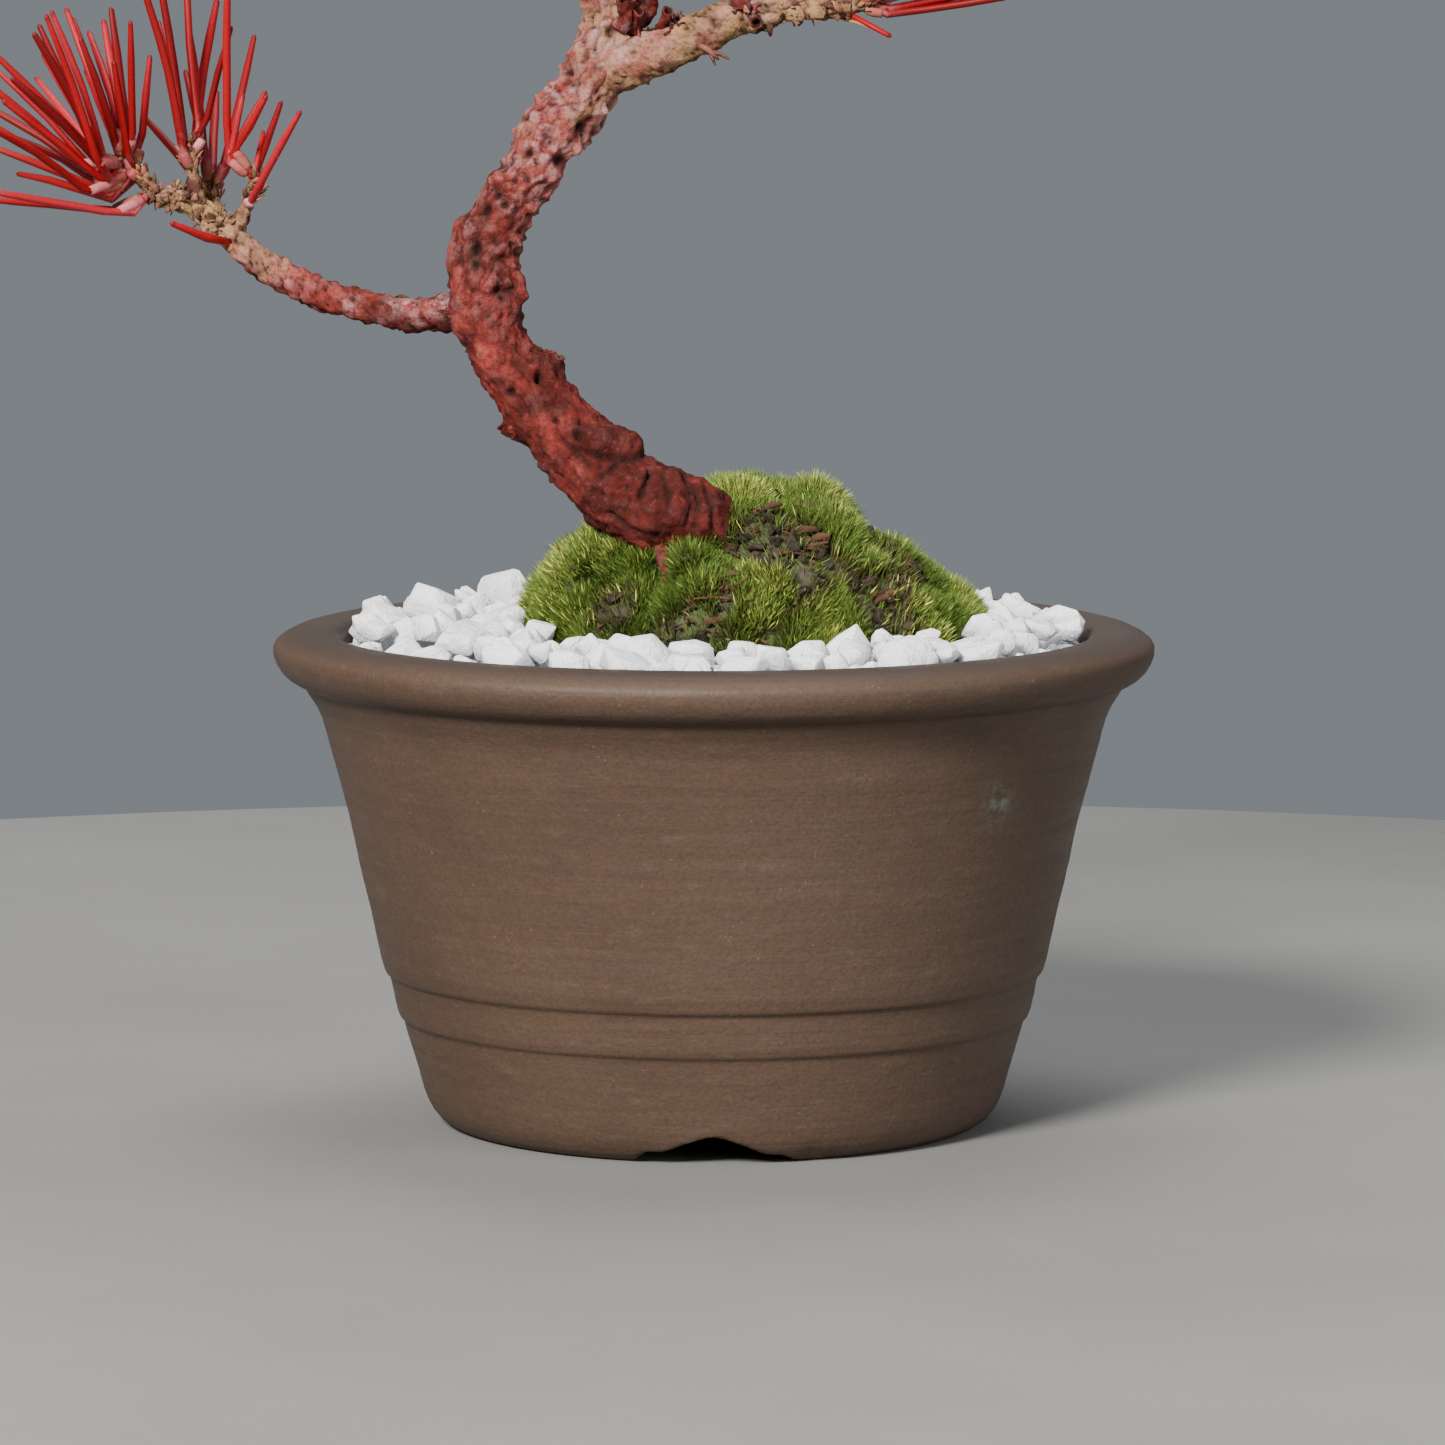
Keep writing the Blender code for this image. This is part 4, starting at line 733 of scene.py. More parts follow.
def moss_material():
    """Moss shoots: dark roots, green middles, yellow-green tips, with tints from shoot to shoot; the
    darkening towards the roots is partly the stems' own brown and partly painted shade.
    """
    n = Nodes("moss")
    # the two brightest yellow stops are painted glints of light on shoot tips
    stops = [
        (0, (0.085, 0.052, 0.024)), (0.08, (0.032, 0.06, 0.008)), (0.3, (0.07, 0.128, 0.015)),
        (0.55, (0.13, 0.195, 0.031)), (0.8, (0.22, 0.28, 0.058)), (0.92, (0.5, 0.54, 0.09)),
        (1, (0.85, 0.82, 0.19)),
    ]
    root = n.blend(n.noise(70), (0.039, 0.0429, 0.00936), (0.0858, 0.0702, 0.0195))
    # darker towards the roots: partly the stems' own brown, partly painted shade deep in the moss
    colour = n.layer(root, n.colours(n.mark("tint"), stops), n.mark("along"), 0.2, 0.85)
    return n.finish(colour, 0.55, gloss=0.22)


def moss_base_material():
    """Dark soil with short green growth, under the moss shoots."""
    n = Nodes("moss_base")
    stops = [(0.35, (0.0234, 0.0187, 0.0125)), (0.65, (0.0858, 0.0663, 0.0429))]
    soil = n.colours(n.noise(420, 4, 0.65), stops)
    colour = n.layer(soil, (0.0546, 0.078, 0.0156), n.noise(260), 0.42, 0.6)
    return n.finish(colour, 0.9, n.bump(n.noise(900, 4, 0.7), 0.8))


def bark_material():
    """Bark under thin red paint: brick at the foot, rose with pale bloom above, bare straw patches; painted
    shade in pits, crevices and branch undersides, and a painted highlight where the bloom gathers on raised
    parts and upper sides.
    """
    n = Nodes("painted_bark")
    wear = n.noise(330, 4, 0.65, twist=0.6)
    grain = n.noise(2000, 4, 0.75)
    fleck = n.noise(1050, 4, 0.75)
    dark_red = (0.0444, 0.0074, 0.00592)
    stops = [
        (0, (0.333, 0.2, 0.0851)), (0.16, (0.326, 0.167, 0.0888)), (0.36, (0.296, 0.0925, 0.0666)),
        (0.58, (0.237, 0.034, 0.0266)), (0.8, (0.1, 0.0126, 0.0092)), (1, (0.05, 0.007, 0.005)),
    ]
    colour = n.colours(n.math("ADD", n.mark("paint"), n.span(wear, 0.25, 0.75, -0.16, 0.16)), stops)
    colour = n.layer(colour, dark_red, fleck, 0.5, 0.68, 0.6)
    colour = n.layer(colour, (0.311, 0.0888, 0.0666), fleck, 0.46, 0.32, 0.22)
    # pale paint bloom; where it gathers on raised parts and upper sides it is a painted highlight
    pale = n.times(n.mark("bloom"), n.span(n.noise(520, 4, 0.75), 0.42, 0.62))
    colour = n.blend(pale, colour, (0.429, 0.259, 0.252))
    colour = n.layer(colour, dark_red, grain, 0.45, 0.75, 0.5)
    # painted shade: near-black in pits, crevices, fold grooves, hollows and branch undersides; flakes and
    # branch stains also bring their own darkness here
    colour = n.blend(n.mark("pit"), colour, (0.0222, 0.00814, 0.00666))
    low = n.bump(fleck, 0.35, 0.9, n.bump(wear, 0.4, 0.8))
    return n.finish(colour, 0.8, n.bump(grain, 0.22, 1, low), gloss=0.1)


def needle_material():
    """Needles dyed scarlet: darker and lighter ones, a sheath dusted with pale paint at the foot."""
    n = Nodes("dyed_needle")
    along = n.mark("along")
    streak = n.noise(1800, 3, 0.6)
    stops = [
        (0, (0.104, 0.0024, 0.0032)), (0.35, (0.208, 0.0024, 0.004)), (0.8, (0.304, 0.004, 0.0072)),
        (1, (0.336, 0.0144, 0.0224)),
    ]
    colour = n.layer(n.colours(n.mark("tint"), stops), (0.16, 0.0024, 0.0024), streak, 0.45, 0.75, 0.3)
    dust = n.times(n.span(along, 0.02, 0.25, 1, 0), n.span(n.noise(650, 4, 0.7), 0.4, 0.6))
    colour = n.blend(n.times(dust, 0.6), colour, (0.48, 0.192, 0.2))
    colour = n.layer(colour, (0.096, 0.0048, 0.004), along, 0.97, 1, 0.6)
    return n.finish(colour, 0.5, n.bump(streak, 0.05, 0.5), gloss=0.17)


def flaky_material(name, per_metre, stops, rough, bump, gloss):
    """A tint for each flake, shifted a little by its grain; bump gives its depth and strength."""
    n = Nodes(name)
    flake = n.noise(per_metre, 4, 0.7)
    shifted = n.math("ADD", n.times(n.mark("tint"), 0.8), n.times(flake, 0.3))
    return n.finish(n.colours(shifted, stops), rough, n.bump(flake, *bump), gloss=gloss)


def sheath_material():
    """Needle sheaths and bud scales: papery brown with pink-white paint on them."""
    stops = [
        (0.15, (0.0234, 0.014, 0.00858)), (0.35, (0.101, 0.0546, 0.0273)), (0.55, (0.281, 0.14, 0.0663)),
        (0.72, (0.28, 0.05, 0.052)), (0.88, (0.4, 0.13, 0.13)), (1, (0.5, 0.25, 0.245)),
    ]
    return flaky_material("needle_sheath", 900, stops, 0.75, (0.15, 0.9), 0.18)


def debris_material():
    """Bits of dark soil, dead scales and twigs on the moss."""
    stops = [
        (0.15, (0.0125, 0.0105, 0.008)), (0.4, (0.032, 0.0275, 0.0215)), (0.62, (0.0602, 0.031, 0.0189)),
        (0.85, (0.11, 0.0482, 0.0241)), (1, (0.234, 0.144, 0.0757)),
    ]
    return flaky_material("moss_debris", 700, stops, 0.85, (0.3, 1), 0.15)


def plain_material(name, stops, per_metre, rough, bump_mm, metallic=0):
    """A simple finish: two colours by noise, with a matching bump."""
    n = Nodes(name)
    value = n.noise(per_metre, 4, 0.65)
    return n.finish(n.colours(value, stops), rough, n.bump(value, bump_mm, 0.8), metallic=metallic)


def dense_profile(outline, step):
    """An outline filled up with points no further apart than a step."""
    rows = np.array(outline, dtype=float)
    dense = [rows[:1]]
    for start, end in zip(rows, rows[1:]):
        count = max(1, math.ceil(np.linalg.norm(end - start) / step))
        dense.append(start + (end - start) * np.arange(1, count + 1)[:, None] / count)
    return np.vstack(dense)


def notch_rise(across, wobble):
    """How high the foot ring is cut away at a place across a notch."""
    bracket = NOTCH_HEIGHT * ramp(NOTCH_HALF_WIDTH - np.abs(across), 0, 2.6) * (1 - 0.018 * across)
    arch = ramp(1 - np.abs(across) / ARCH_HALF_WIDTH, 0, 0.85) * (ARCH_HEIGHT - NOTCH_HEIGHT)
    return (bracket + arch) * (1 + 0.12 * wobble)


def cut_notches(x, y, height, foot):
    """Lift the bottom of the foot ring at three even places."""
    for number in range(NOTCHES):
        centre = -math.pi / 2 + 2 * math.pi * number / NOTCHES
        outward = x * math.cos(centre) + y * math.sin(centre)
        across = y * math.cos(centre) - x * math.sin(centre)
        wobble = soft_noise(np.stack([across, outward, 0 * across + number], axis=-1), 2.5, 11)
        lifted = foot & (outward > 20) & (np.abs(across) < NOTCH_HALF_WIDTH)
        height = np.where(lifted, np.maximum(height, notch_rise(across, wobble)), height)
    return height


def weld(item):
    """Join the points of a mesh that lie on each other."""
    joined = bmesh.new()
    joined.from_mesh(item.data)
    bmesh.ops.remove_doubles(joined, verts=joined.verts, dist=WELD_GAP * MM)
    joined.to_mesh(item.data)
    joined.free()
    return item


def make_pot(material):
    """The turned pot with slight throwing marks, soft ledges, three foot notches and small nicks."""
    outer = dense_profile(POT_OUTER, POT_STEPS[0])
    profile = np.vstack([outer, dense_profile(POT_UNDER + POT_INSIDE, POT_STEPS[1])])
    rings = len(profile)
    radius, height, turn = np.broadcast_arrays(profile[:, :1], profile[:, 1:], turns(POT_SIDES))
    shown = np.arange(rings)[:, None] < len(outer)
    place = np.stack([np.cos(turn) * 30, np.sin(turn) * 30, height], axis=-1)
    marks = 0.035 * soft_noise(place * (0.12, 0.12, 1), 0.9, 3)
    marks = marks + 0.05 * soft_noise(place * (0.25, 0.25, 1), 4, 5)
    radius = radius + shown * ramp(height, 3, 6) * (marks + 0.06 * soft_noise(place, 9, 7))
    height = height + bell((height - LEDGE_HEIGHT) / 6) * shown * soft_noise(place * (1, 1, 0), 11, 9) * 0.3
    x, y = radius * np.cos(turn), radius * np.sin(turn)
    height = cut_notches(x, y, height, (radius > 29.5) & (height < 6))
    front = (y < 0) * shown
    across, up = (x - PALE_SPOT[0]) / PALE_SPOT_SIZE[0], (height - PALE_SPOT[1]) / PALE_SPOT_SIZE[1]
    pale = bell(np.hypot(across, up)) * front
    # painted shade: darker on the top of the lip and on the inner rim just above the gravel
    stain = ramp(height, 66, 67.3) * shown + 0.7 * ramp(52 - radius, 0, 1) * ramp(height, 60, 62)
    for mark_x, mark_z, size, rise in POT_MARKS:
        spot = bell(np.hypot(x - mark_x, height - mark_z) / size) * front
        x = x + spot * rise * np.cos(turn)
        y = y + spot * rise * np.sin(turn)
    faces = grid_faces(rings + 1, POT_SIDES) % (rings * POT_SIDES)
    shape = Shape()
    shape.add(np.stack([x, y, height], axis=-1), [faces[:, ::-1]], pale=pale, stain=held(stain))
    return weld(shape.build("pot_body", material))


def in_fixed_order(triangles):
    """The same triangles in one order, because bmesh lists them in another order at each run."""
    first = triangles.argmin(axis=1)[:, None]
    triangles = np.take_along_axis(triangles, (first + np.arange(3)) % 3, axis=1)
    return triangles[np.lexsort(triangles.T[::-1])]


def unit_stones(draw, kinds, corners):
    """Crushed stones of radius one: flat broken faces with their edges worn."""
    worn = {"offset": 0.15, "segments": 2, "profile": 0.55, "affect": "EDGES", "clamp_overlap": True}
    stones = []
    for _ in range(kinds):
        stone = bmesh.new()
        for _ in range(draw.randint(*corners)):
            way = Vector([draw.gauss(0, 1) for _ in range(3)]).normalized()
            stone.verts.new(way * draw.uniform(0.9, 1.1))
        hull = bmesh.ops.convex_hull(stone, input=stone.verts)
        bmesh.ops.delete(stone, geom=[g for g in hull["geom_interior"] if g.is_valid], context="VERTS")
        bmesh.ops.dissolve_limit(stone, angle_limit=math.radians(14), verts=stone.verts, edges=stone.edges)
        bmesh.ops.bevel(stone, geom=stone.edges[:], **worn)
        bmesh.ops.triangulate(stone, faces=stone.faces)
        stone.verts.index_update()
        points = np.array([vertex.co[:] for vertex in stone.verts])
        faces = in_fixed_order(np.array([[vertex.index for vertex in face.verts] for face in stone.faces]))
        stone.free()
        reach = np.linalg.norm(points, axis=1, keepdims=True)
        rough = 1 + 0.08 * soft_noise(points, 0.4, draw.randint(0, 99))[:, None]
        points *= np.minimum(1, 1.08 / reach) * rough
        stones.append((points / np.abs(points).max(axis=0).mean(), faces))
    return stones


def mound_share(x, y, margin=0):
    """Where a place lies on the moss mound: below 1 inside its ellipse."""
    across = (x - MOSS_CENTRE[0]) / (MOSS_HALF_SIZE[0] + margin)
    deep = (y - MOSS_CENTRE[1]) / (MOSS_HALF_SIZE[1] + margin)
    return np.hypot(across, deep)


def bed_place(draw, inset):
    """A random place on the gravel bed, inset from its edge: x, y and its turn round the pot."""
    turn = draw.uniform(0, 2 * math.pi)
    away = math.sqrt(draw.uniform(0.2, 1)) * (GRAVEL_RADIUS - inset)
    return away * math.cos(turn), away * math.sin(turn), turn


def stone_places(draw):
    """Drop stones one by one between the moss and the pot, each on those under it."""
    placed = np.array(LARGE_STONES)
    for attempt in range(STONE_TRIES):
        radius = draw.uniform(*STONE_RADIUS)
        if attempt < FIRST_STONE_TRIES:
            radius = draw.uniform(*FIRST_STONE_RADIUS)
        x, y, turn = bed_place(draw, 0.9 * radius)
        if mound_share(x, y, 0.35 * radius) < 1:
            continue
        z = GRAVEL_BED + 0.45 * radius
        apart = np.hypot(placed[:, 0] - x, placed[:, 1] - y)
        touch = 0.9 * (placed[:, 3] + radius)
        near = apart < touch
        if near.any():
            z = max(z, (placed[near, 2] + 0.76 * np.sqrt(touch[near] ** 2 - apart[near] ** 2)).max())
        hump = 0.7 * math.sin(2.1 * turn + 1.2) + 0.2 * (x < -20)
        if z + 0.75 * radius <= GRAVEL_TOP - 0.9 + hump:
            placed = np.vstack([placed, (x, y, z, radius)])
    return placed


def chip_places(stones, draw):
    """Small chips in the gaps that the stones leave on the bed."""
    placed = stones
    for _ in range(CHIP_TRIES):
        radius = draw.uniform(*CHIP_RADIUS)
        x, y, _ = bed_place(draw, 0.7 * radius)
        apart = np.hypot(placed[:, 0] - x, placed[:, 1] - y)
        if mound_share(x, y) > 1 and (apart > 0.75 * placed[:, 3] + 0.6 * radius).all():
            placed = np.vstack([placed, (x, y, GRAVEL_BED + 0.5 * radius, radius)])
    return placed[len(stones) :]


def random_turn(draw):
    """A random rotation, as rows."""
    turn = Matrix.Rotation(draw.uniform(0, 2 * math.pi), 3, "Z")
    tip = Matrix.Rotation(draw.gauss(0, 0.5), 3, "X")
    return np.array(turn @ tip @ Matrix.Rotation(draw.uniform(0, 2 * math.pi), 3, "Z"))


def add_stones(shape, places, kinds, draw):
    """Stones of random kinds, sizes and turns, kept inside the pot's wall, with a random grey tone for each
    stone and painted shade on their lower sides.
    """
    for x, y, z, radius in places:
        stone, faces = draw.choice(kinds)
        stone = stone * (draw.uniform(0.95, 1.22), draw.uniform(0.8, 1.05), draw.uniform(0.65, 0.95))
        stone = stone @ random_turn(draw).T
        # a random grey tone for the stone, plus painted shade that greys its lower side
        dust = 0.16 * draw.random() + 0.84 * ramp(-stone[:, 2], -0.6, 0.7)
        stone = stone * radius + (x, y, z)
        over = np.hypot(stone[:, 0], stone[:, 1]) / (GRAVEL_RADIUS + 0.1)
        stone[:, :2] /= np.where(stone[:, 2] < WALL_TOP, np.maximum(over, 1), 1)[:, None]
        shape.add(stone, [faces], dust=dust)


def make_gravel(material):
    """Crushed stones, the chips between them and a bumpy bed below, painted grey as shade."""
    shape = Shape()
    draw = random.Random(STONE_SEED)
    kinds = unit_stones(draw, 24, STONE_CORNERS)
    stones = stone_places(draw)
    add_stones(shape, stones, kinds, draw)
    chips = chip_places(stones, random.Random(CHIP_SEED))
    draw = random.Random(CHIP_SEED + 1)
    add_stones(shape, chips, unit_stones(draw, 8, CHIP_CORNERS), draw)
    rings, sides = 22, 120
    bed = flat_rings(np.linspace(8, GRAVEL_RADIUS, rings), sides)
    bed[..., 2] = GRAVEL_BED + 0.7 * soft_noise(bed, 2.4, 21)
    # painted shade: the bed between the stones is nearly all grey
    shape.add(bed, [grid_faces(rings, sides)], dust=0.9)
    return shape.build("white_gravel", material)


def nearness(x, y, spot):
    """1 in the middle of a round spot of x, y and reach, falling to 0 round it."""
    return math.exp(-((x - spot[0]) ** 2 + (y - spot[1]) ** 2) / spot[2] ** 2)


def moss_height(x, y):
    """Height of the moss at a place, with its clumps."""
    clump = 2.6 * noise.noise(Vector((x, y, 0)) / 6.5) + 0.8 * noise.noise(Vector((x, y, 9)) / 3)
    for *spot, rise in MOSS_CLUMPS:
        clump += rise * nearness(x, y, spot)
    inside = min(mound_share(x, y), 1)
    return MOSS_EDGE_TOP + MOSS_RISE * (1 - inside**MOSS_STEEPNESS) + clump * (1 - inside**8)


def bare_share(x, y):
    """From 0 on thick moss to 1 on a bare brown patch."""
    value = noise.noise(Vector((x + 40, y, 3)) / 7) + 0.5 * noise.noise(Vector((x, y, 14)) / 3.2)
    for *spot, weight in MOSS_BARE:
        value += weight * nearness(x, y, spot)
    return float(ramp(value, 0.12, 0.5))


def moss_places(draw, count):
    """Random places on the mound, as x, y and their share of its half size."""
    turn = draw.uniform(0, 2 * np.pi, count)
    away = np.sqrt(draw.uniform(0, 1, count))
    x = MOSS_CENTRE[0] + MOSS_HALF_SIZE[0] * away * np.cos(turn)
    y = MOSS_CENTRE[1] + MOSS_HALF_SIZE[1] * away * np.sin(turn)
    return x, y, away


def from_grid(values, x, y):
    """Read numbers between the points of a grid that covers the mound."""
    column = (x - MOSS_CENTRE[0] + MOSS_HALF_SIZE[0]) / MOSS_GRID_STEP + 1
    row = (y - MOSS_CENTRE[1] + MOSS_HALF_SIZE[1]) / MOSS_GRID_STEP + 1
    i, j = np.floor(row).astype(int), np.floor(column).astype(int)
    u, v = row - i, column - j
    low = values[i, j] * (1 - v) + values[i, j + 1] * v
    high = values[i + 1, j] * (1 - v) + values[i + 1, j + 1] * v
    return low * (1 - u) + high * u


def moss_grid(function):
    """A number for each point of a grid that covers the mound."""
    across, deep = (np.arange(-1, 2 * half / MOSS_GRID_STEP + 3) * MOSS_GRID_STEP for half in MOSS_HALF_SIZE)
    left, front = MOSS_CENTRE[0] - MOSS_HALF_SIZE[0], MOSS_CENTRE[1] - MOSS_HALF_SIZE[1]
    return np.array([[function(left + x, front + y) for x in across] for y in deep])


def moss_cushions(draw):
    """Cushions of moss: x, y, reach, tint and how many of their shoots get bright yellow tips, painted glints
    of light.
    """
    rows = []
    for x, y, _ in zip(*moss_places(draw, CUSHION_TRIES)):
        reach = draw.uniform(2.4, 4.6)
        if all(math.hypot(x - row[0], y - row[1]) > 0.8 * min(reach, row[2]) + 1.1 for row in rows):
            # painted highlight: the share of shoots with bright yellow glints on their tips
            tint, glint_tips = draw.normal(0.36, 0.14), 0.02
            for *spot, change, glint_share in MOSS_TINTS:
                tint += change * nearness(x, y, spot)
                glint_tips += glint_share * nearness(x, y, spot)
            rows.append((x, y, reach, tint, glint_tips))
    return np.array(rows)


def moss_slope(height_grid, x, y):
    """How much the moss rises towards x and towards y over a short step each way."""
    step = 0.8
    reach_x, reach_y = MOSS_HALF_SIZE[0] - step, MOSS_HALF_SIZE[1] - step
    x = np.clip(x, MOSS_CENTRE[0] - reach_x, MOSS_CENTRE[0] + reach_x)
    y = np.clip(y, MOSS_CENTRE[1] - reach_y, MOSS_CENTRE[1] + reach_y)
    rise_x = from_grid(height_grid, x + step, y) - from_grid(height_grid, x - step, y)
    rise_y = from_grid(height_grid, x, y + step) - from_grid(height_grid, x, y - step)
    return np.column_stack([rise_x, rise_y])


def shoot_tints(draw, cushion, dome, bare):
    """A tint for each shoot: that of its cushion, darker towards the cushion's edge as painted shade, dry
    brown, or a bright yellow tip as a painted glint.
    """
    count = len(dome)
    # painted shade: shoots darker towards their cushion's edge, in the hollows between cushions
    tint = np.clip(cushion[:, 3] + draw.normal(0, 0.09, count) + 0.4 * (dome - 0.62), 0.08, 0.86)
    dry = draw.uniform(0, 1, count) < 0.07 + 0.5 * bare
    tint = np.where(dry, draw.uniform(0, 0.06, count), tint)
    # painted highlight: bright yellow glints on shoot tips, most on cushion tops
    glint_tips = draw.uniform(0, 1, count) < cushion[:, 4] * dome
    return np.where(glint_tips, draw.uniform(0.9, 1, count), tint)


def make_shoots(number, height_grid, bare_grid, cushion_rows, material):
    """Fine upright moss shoots that lean out of the middle of their cushions."""
    draw = np.random.default_rng(SHOOT_SEED + number)
    x, y, _ = moss_places(draw, SHOOT_COUNT)
    keep = draw.uniform(0, 1, SHOOT_COUNT) > 0.92 * from_grid(bare_grid, x, y)
    x, y = x[keep], y[keep]
    count = len(x)
    apart = np.hypot(x[:, None] - cushion_rows[:, 0], y[:, None] - cushion_rows[:, 1]) / cushion_rows[:, 2]
    cushion = cushion_rows[apart.argmin(axis=1)]
    dome = held(1 - apart.min(axis=1) ** 2)
    lean = (np.column_stack([x, y]) - cushion[:, :2]) / cushion[:, 2:3]
    tilt = 0.5 * lean - moss_slope(height_grid, x, y) / 2.4
    way = unit(np.column_stack([tilt, np.ones(count)]) + draw.normal(0, 0.26, (count, 3)))
    long = (draw.uniform(1.6, 3.1, count) * (0.58 + 0.5 * dome) + 0.95 * dome)[:, None]
    tint = shoot_tints(draw, cushion, dome, from_grid(bare_grid, x, y))
    twist = draw.uniform(0, np.pi, count)
    across = unit(np.cross(way, np.column_stack([np.cos(twist), np.sin(twist), 0 * twist])))
    bend = np.cross(way, across) * draw.normal(0, 0.16, (count, 1)) * long
    half = across * draw.uniform(0.065, 0.11, (count, 1))
    foot = np.column_stack([x, y, from_grid(height_grid, x, y) - 2.3])
    middle = foot + way * 0.6 * long + 0.35 * bend
    points = np.stack([foot, middle - half, middle + half, foot + way * long + bend], axis=1)
    first = np.arange(count)[:, None] * 4
    along = np.tile([0, 0.6, 0.6, 1], count)
    shape = Shape()
    shape.add(points, [first + (0, 2, 1), first + (1, 2, 3)], tint=np.repeat(tint, 4), along=along)
    return shape.build(f"moss_shoots_{number}", material, smooth=False)


def add_lump(shape, x, y, z, kinds, draw):
    """A lump of dark soil."""
    stone, faces = draw.choice(kinds)
    size = draw.uniform(0.4, 0.95) if draw.random() < 0.75 else draw.uniform(0.95, 1.7)
    stone = stone * (1.1, 0.9, 0.7) @ random_turn(draw).T * size + (x, y, z + 0.3 * size)
    shape.add(stone, [faces], tint=draw.uniform(0, 0.5))


def add_bit(shape, middle, draw):
    """A dead scale or a short bit of twig."""
    heading = draw.uniform(0, 2 * math.pi)
    long = draw.uniform(0.7, 1.9) if draw.random() < 0.85 else draw.uniform(2.5, 5)
    way = np.array([math.cos(heading), math.sin(heading), draw.uniform(-0.3, 0.6)])
    size = draw.uniform(0.14, 0.3)
    ends = [middle - way * long / 2, middle + (draw.gauss(0, 0.15), 0, 0.2), middle + way * long / 2]
    route = sized(ends, (size, 1.2 * size, 0.4 * size))
    tube(shape, route, 6, flatten=0.6, tint=draw.uniform(0.35, 0.9))


def add_seen_bit(shape, height_grid, x, y, rise, heading, steepness, long, size, tint):
    """A twig or brown scale that the photo shows."""
    heading, steepness = math.radians(heading), math.radians(steepness)
    way = Vector((math.cos(heading), math.sin(heading), math.tan(steepness))).normalized()
    start = Vector((x, y, from_grid(height_grid, x, y) + rise)) - way * long / 2
    ends = [start, start + way * (0.4 * long) + Vector((0, 0, 0.2)), start + way * long]
    route = fine_route(sized(ends, (0.7 * size, size, 0.45 * size)), 0.5)
    tube(shape, route, 9, flatten=0.5, tint=tint)


def make_litter(height_grid, bare_grid, material):
    """Lumps of dark soil, dead scales and bits of twig on the bare patches."""
    draw = random.Random(LITTER_SEED)
    kinds = unit_stones(draw, 10, CHIP_CORNERS)
    shape = Shape()
    for x, y, away in zip(*moss_places(np.random.default_rng(LITTER_SEED + 1), LITTER_TRIES)):
        bare = from_grid(bare_grid, x, y)
        if draw.random() > 0.12 + 0.9 * bare or away > 0.96:
            continue
        z = from_grid(height_grid, x, y) - 1.5 + 0.9 * (1 - bare)
        if draw.random() < 0.7 * bare:
            add_lump(shape, x, y, z, kinds, draw)
        else:
            add_bit(shape, np.array([x, y, z + 0.9]), draw)
    for bit in MOSS_BITS:
        add_seen_bit(shape, height_grid, *bit)
    return shape.build("moss_litter", material)


def make_mound(height_grid, material):
    """The ground of the moss, a little below the tips of its shoots."""
    rings, sides = 50, 150
    shares = np.linspace(0, 1, rings + 1)[1:]
    points = flat_rings(shares, sides) * (*MOSS_HALF_SIZE, 0) + (*MOSS_CENTRE, 0)
    points[..., 2] = from_grid(height_grid, points[..., 0], points[..., 1]) - MOSS_DEPTH
    points[..., 2] += 0.5 * soft_noise(points, 1.3, 31)
    skirt = points[-1] * (1, 1, 0) + (0, 0, MOSS_SKIRT)
    top = (*MOSS_CENTRE, moss_height(*MOSS_CENTRE) - MOSS_DEPTH)
    points = np.vstack([points.reshape(-1, 3), skirt, top])
    shape = Shape()
    shape.add(points, [grid_faces(rings + 1, sides)[:, ::-1], fan_faces(len(points) - 1, np.arange(sides))])
    return shape.build("moss_mound", material)


def make_moss(base_material, blade_material, debris):
    """A mound, the shoots that cover it in cushions, and the bits that lie on it."""
    grids = moss_grid(moss_height), moss_grid(bare_share)
    mound = make_mound(grids[0], base_material)
    cushion_rows = moss_cushions(np.random.default_rng(CUSHION_SEED))
    shoots = [make_shoots(number, *grids, cushion_rows, blade_material) for number in range(2)]
    return mound, shoots, make_litter(*grids, debris)


def cushions(along, turn, radius, length, width, seed):
    """Leaf cushions in a spiral: their height, the pits above them, and their edges."""
    step = length * width * 0.87 / (2 * np.pi * float(np.median(radius)))
    reach = int(1.3 * length / step) + 1
    nearest = np.zeros((4, *along.shape))
    nearest[0] = 9
    second = nearest[0]
    for offset in range(-reach, reach + 1):
        k = np.round(along / step) + offset
        cell = np.stack([k, k * 0, k * 0], axis=-1)
        u = (along - k * step) / length + (lattice(cell, seed) - 0.5) * 0.4
        arc = (turn - k * GOLDEN_ANGLE + np.pi) % (2 * np.pi) - np.pi
        v = arc * radius / width + (lattice(cell, seed + 1) - 0.5) * 0.45
        distance = 0.6 * np.hypot(u, v) + 0.4 * (np.abs(u) + np.abs(v))
        closer = distance < nearest[0]
        second = np.where(closer, nearest[0], np.minimum(second, distance))
        nearest = np.where(closer, np.stack([distance, u, v, lattice(cell, seed + 2)]), nearest)
    best, u, v, tag = nearest
    edge = held((second - best) * 3)
    rise = edge**0.55 * (0.3 + 0.7 * ramp(u, -0.5, 0.32)) * (0.55 + 0.6 * tag)
    pit = bell(np.hypot((u - 0.36) / 0.13, v / 0.2)) * (tag > 0.3)
    return rise, pit, edge


def line_distance(x, z, points):
    """Distance in the front view from each place to a line through points of x and z."""
    best = np.full(x.shape, 99.0)
    for (ax, az), (bx, bz) in zip(points, points[1:]):
        dx, dz = bx - ax, bz - az
        share = held(((x - ax) * dx + (z - az) * dz) / (dx * dx + dz * dz))
        best = np.minimum(best, np.hypot(x - ax - share * dx, z - az - share * dz))
    return best


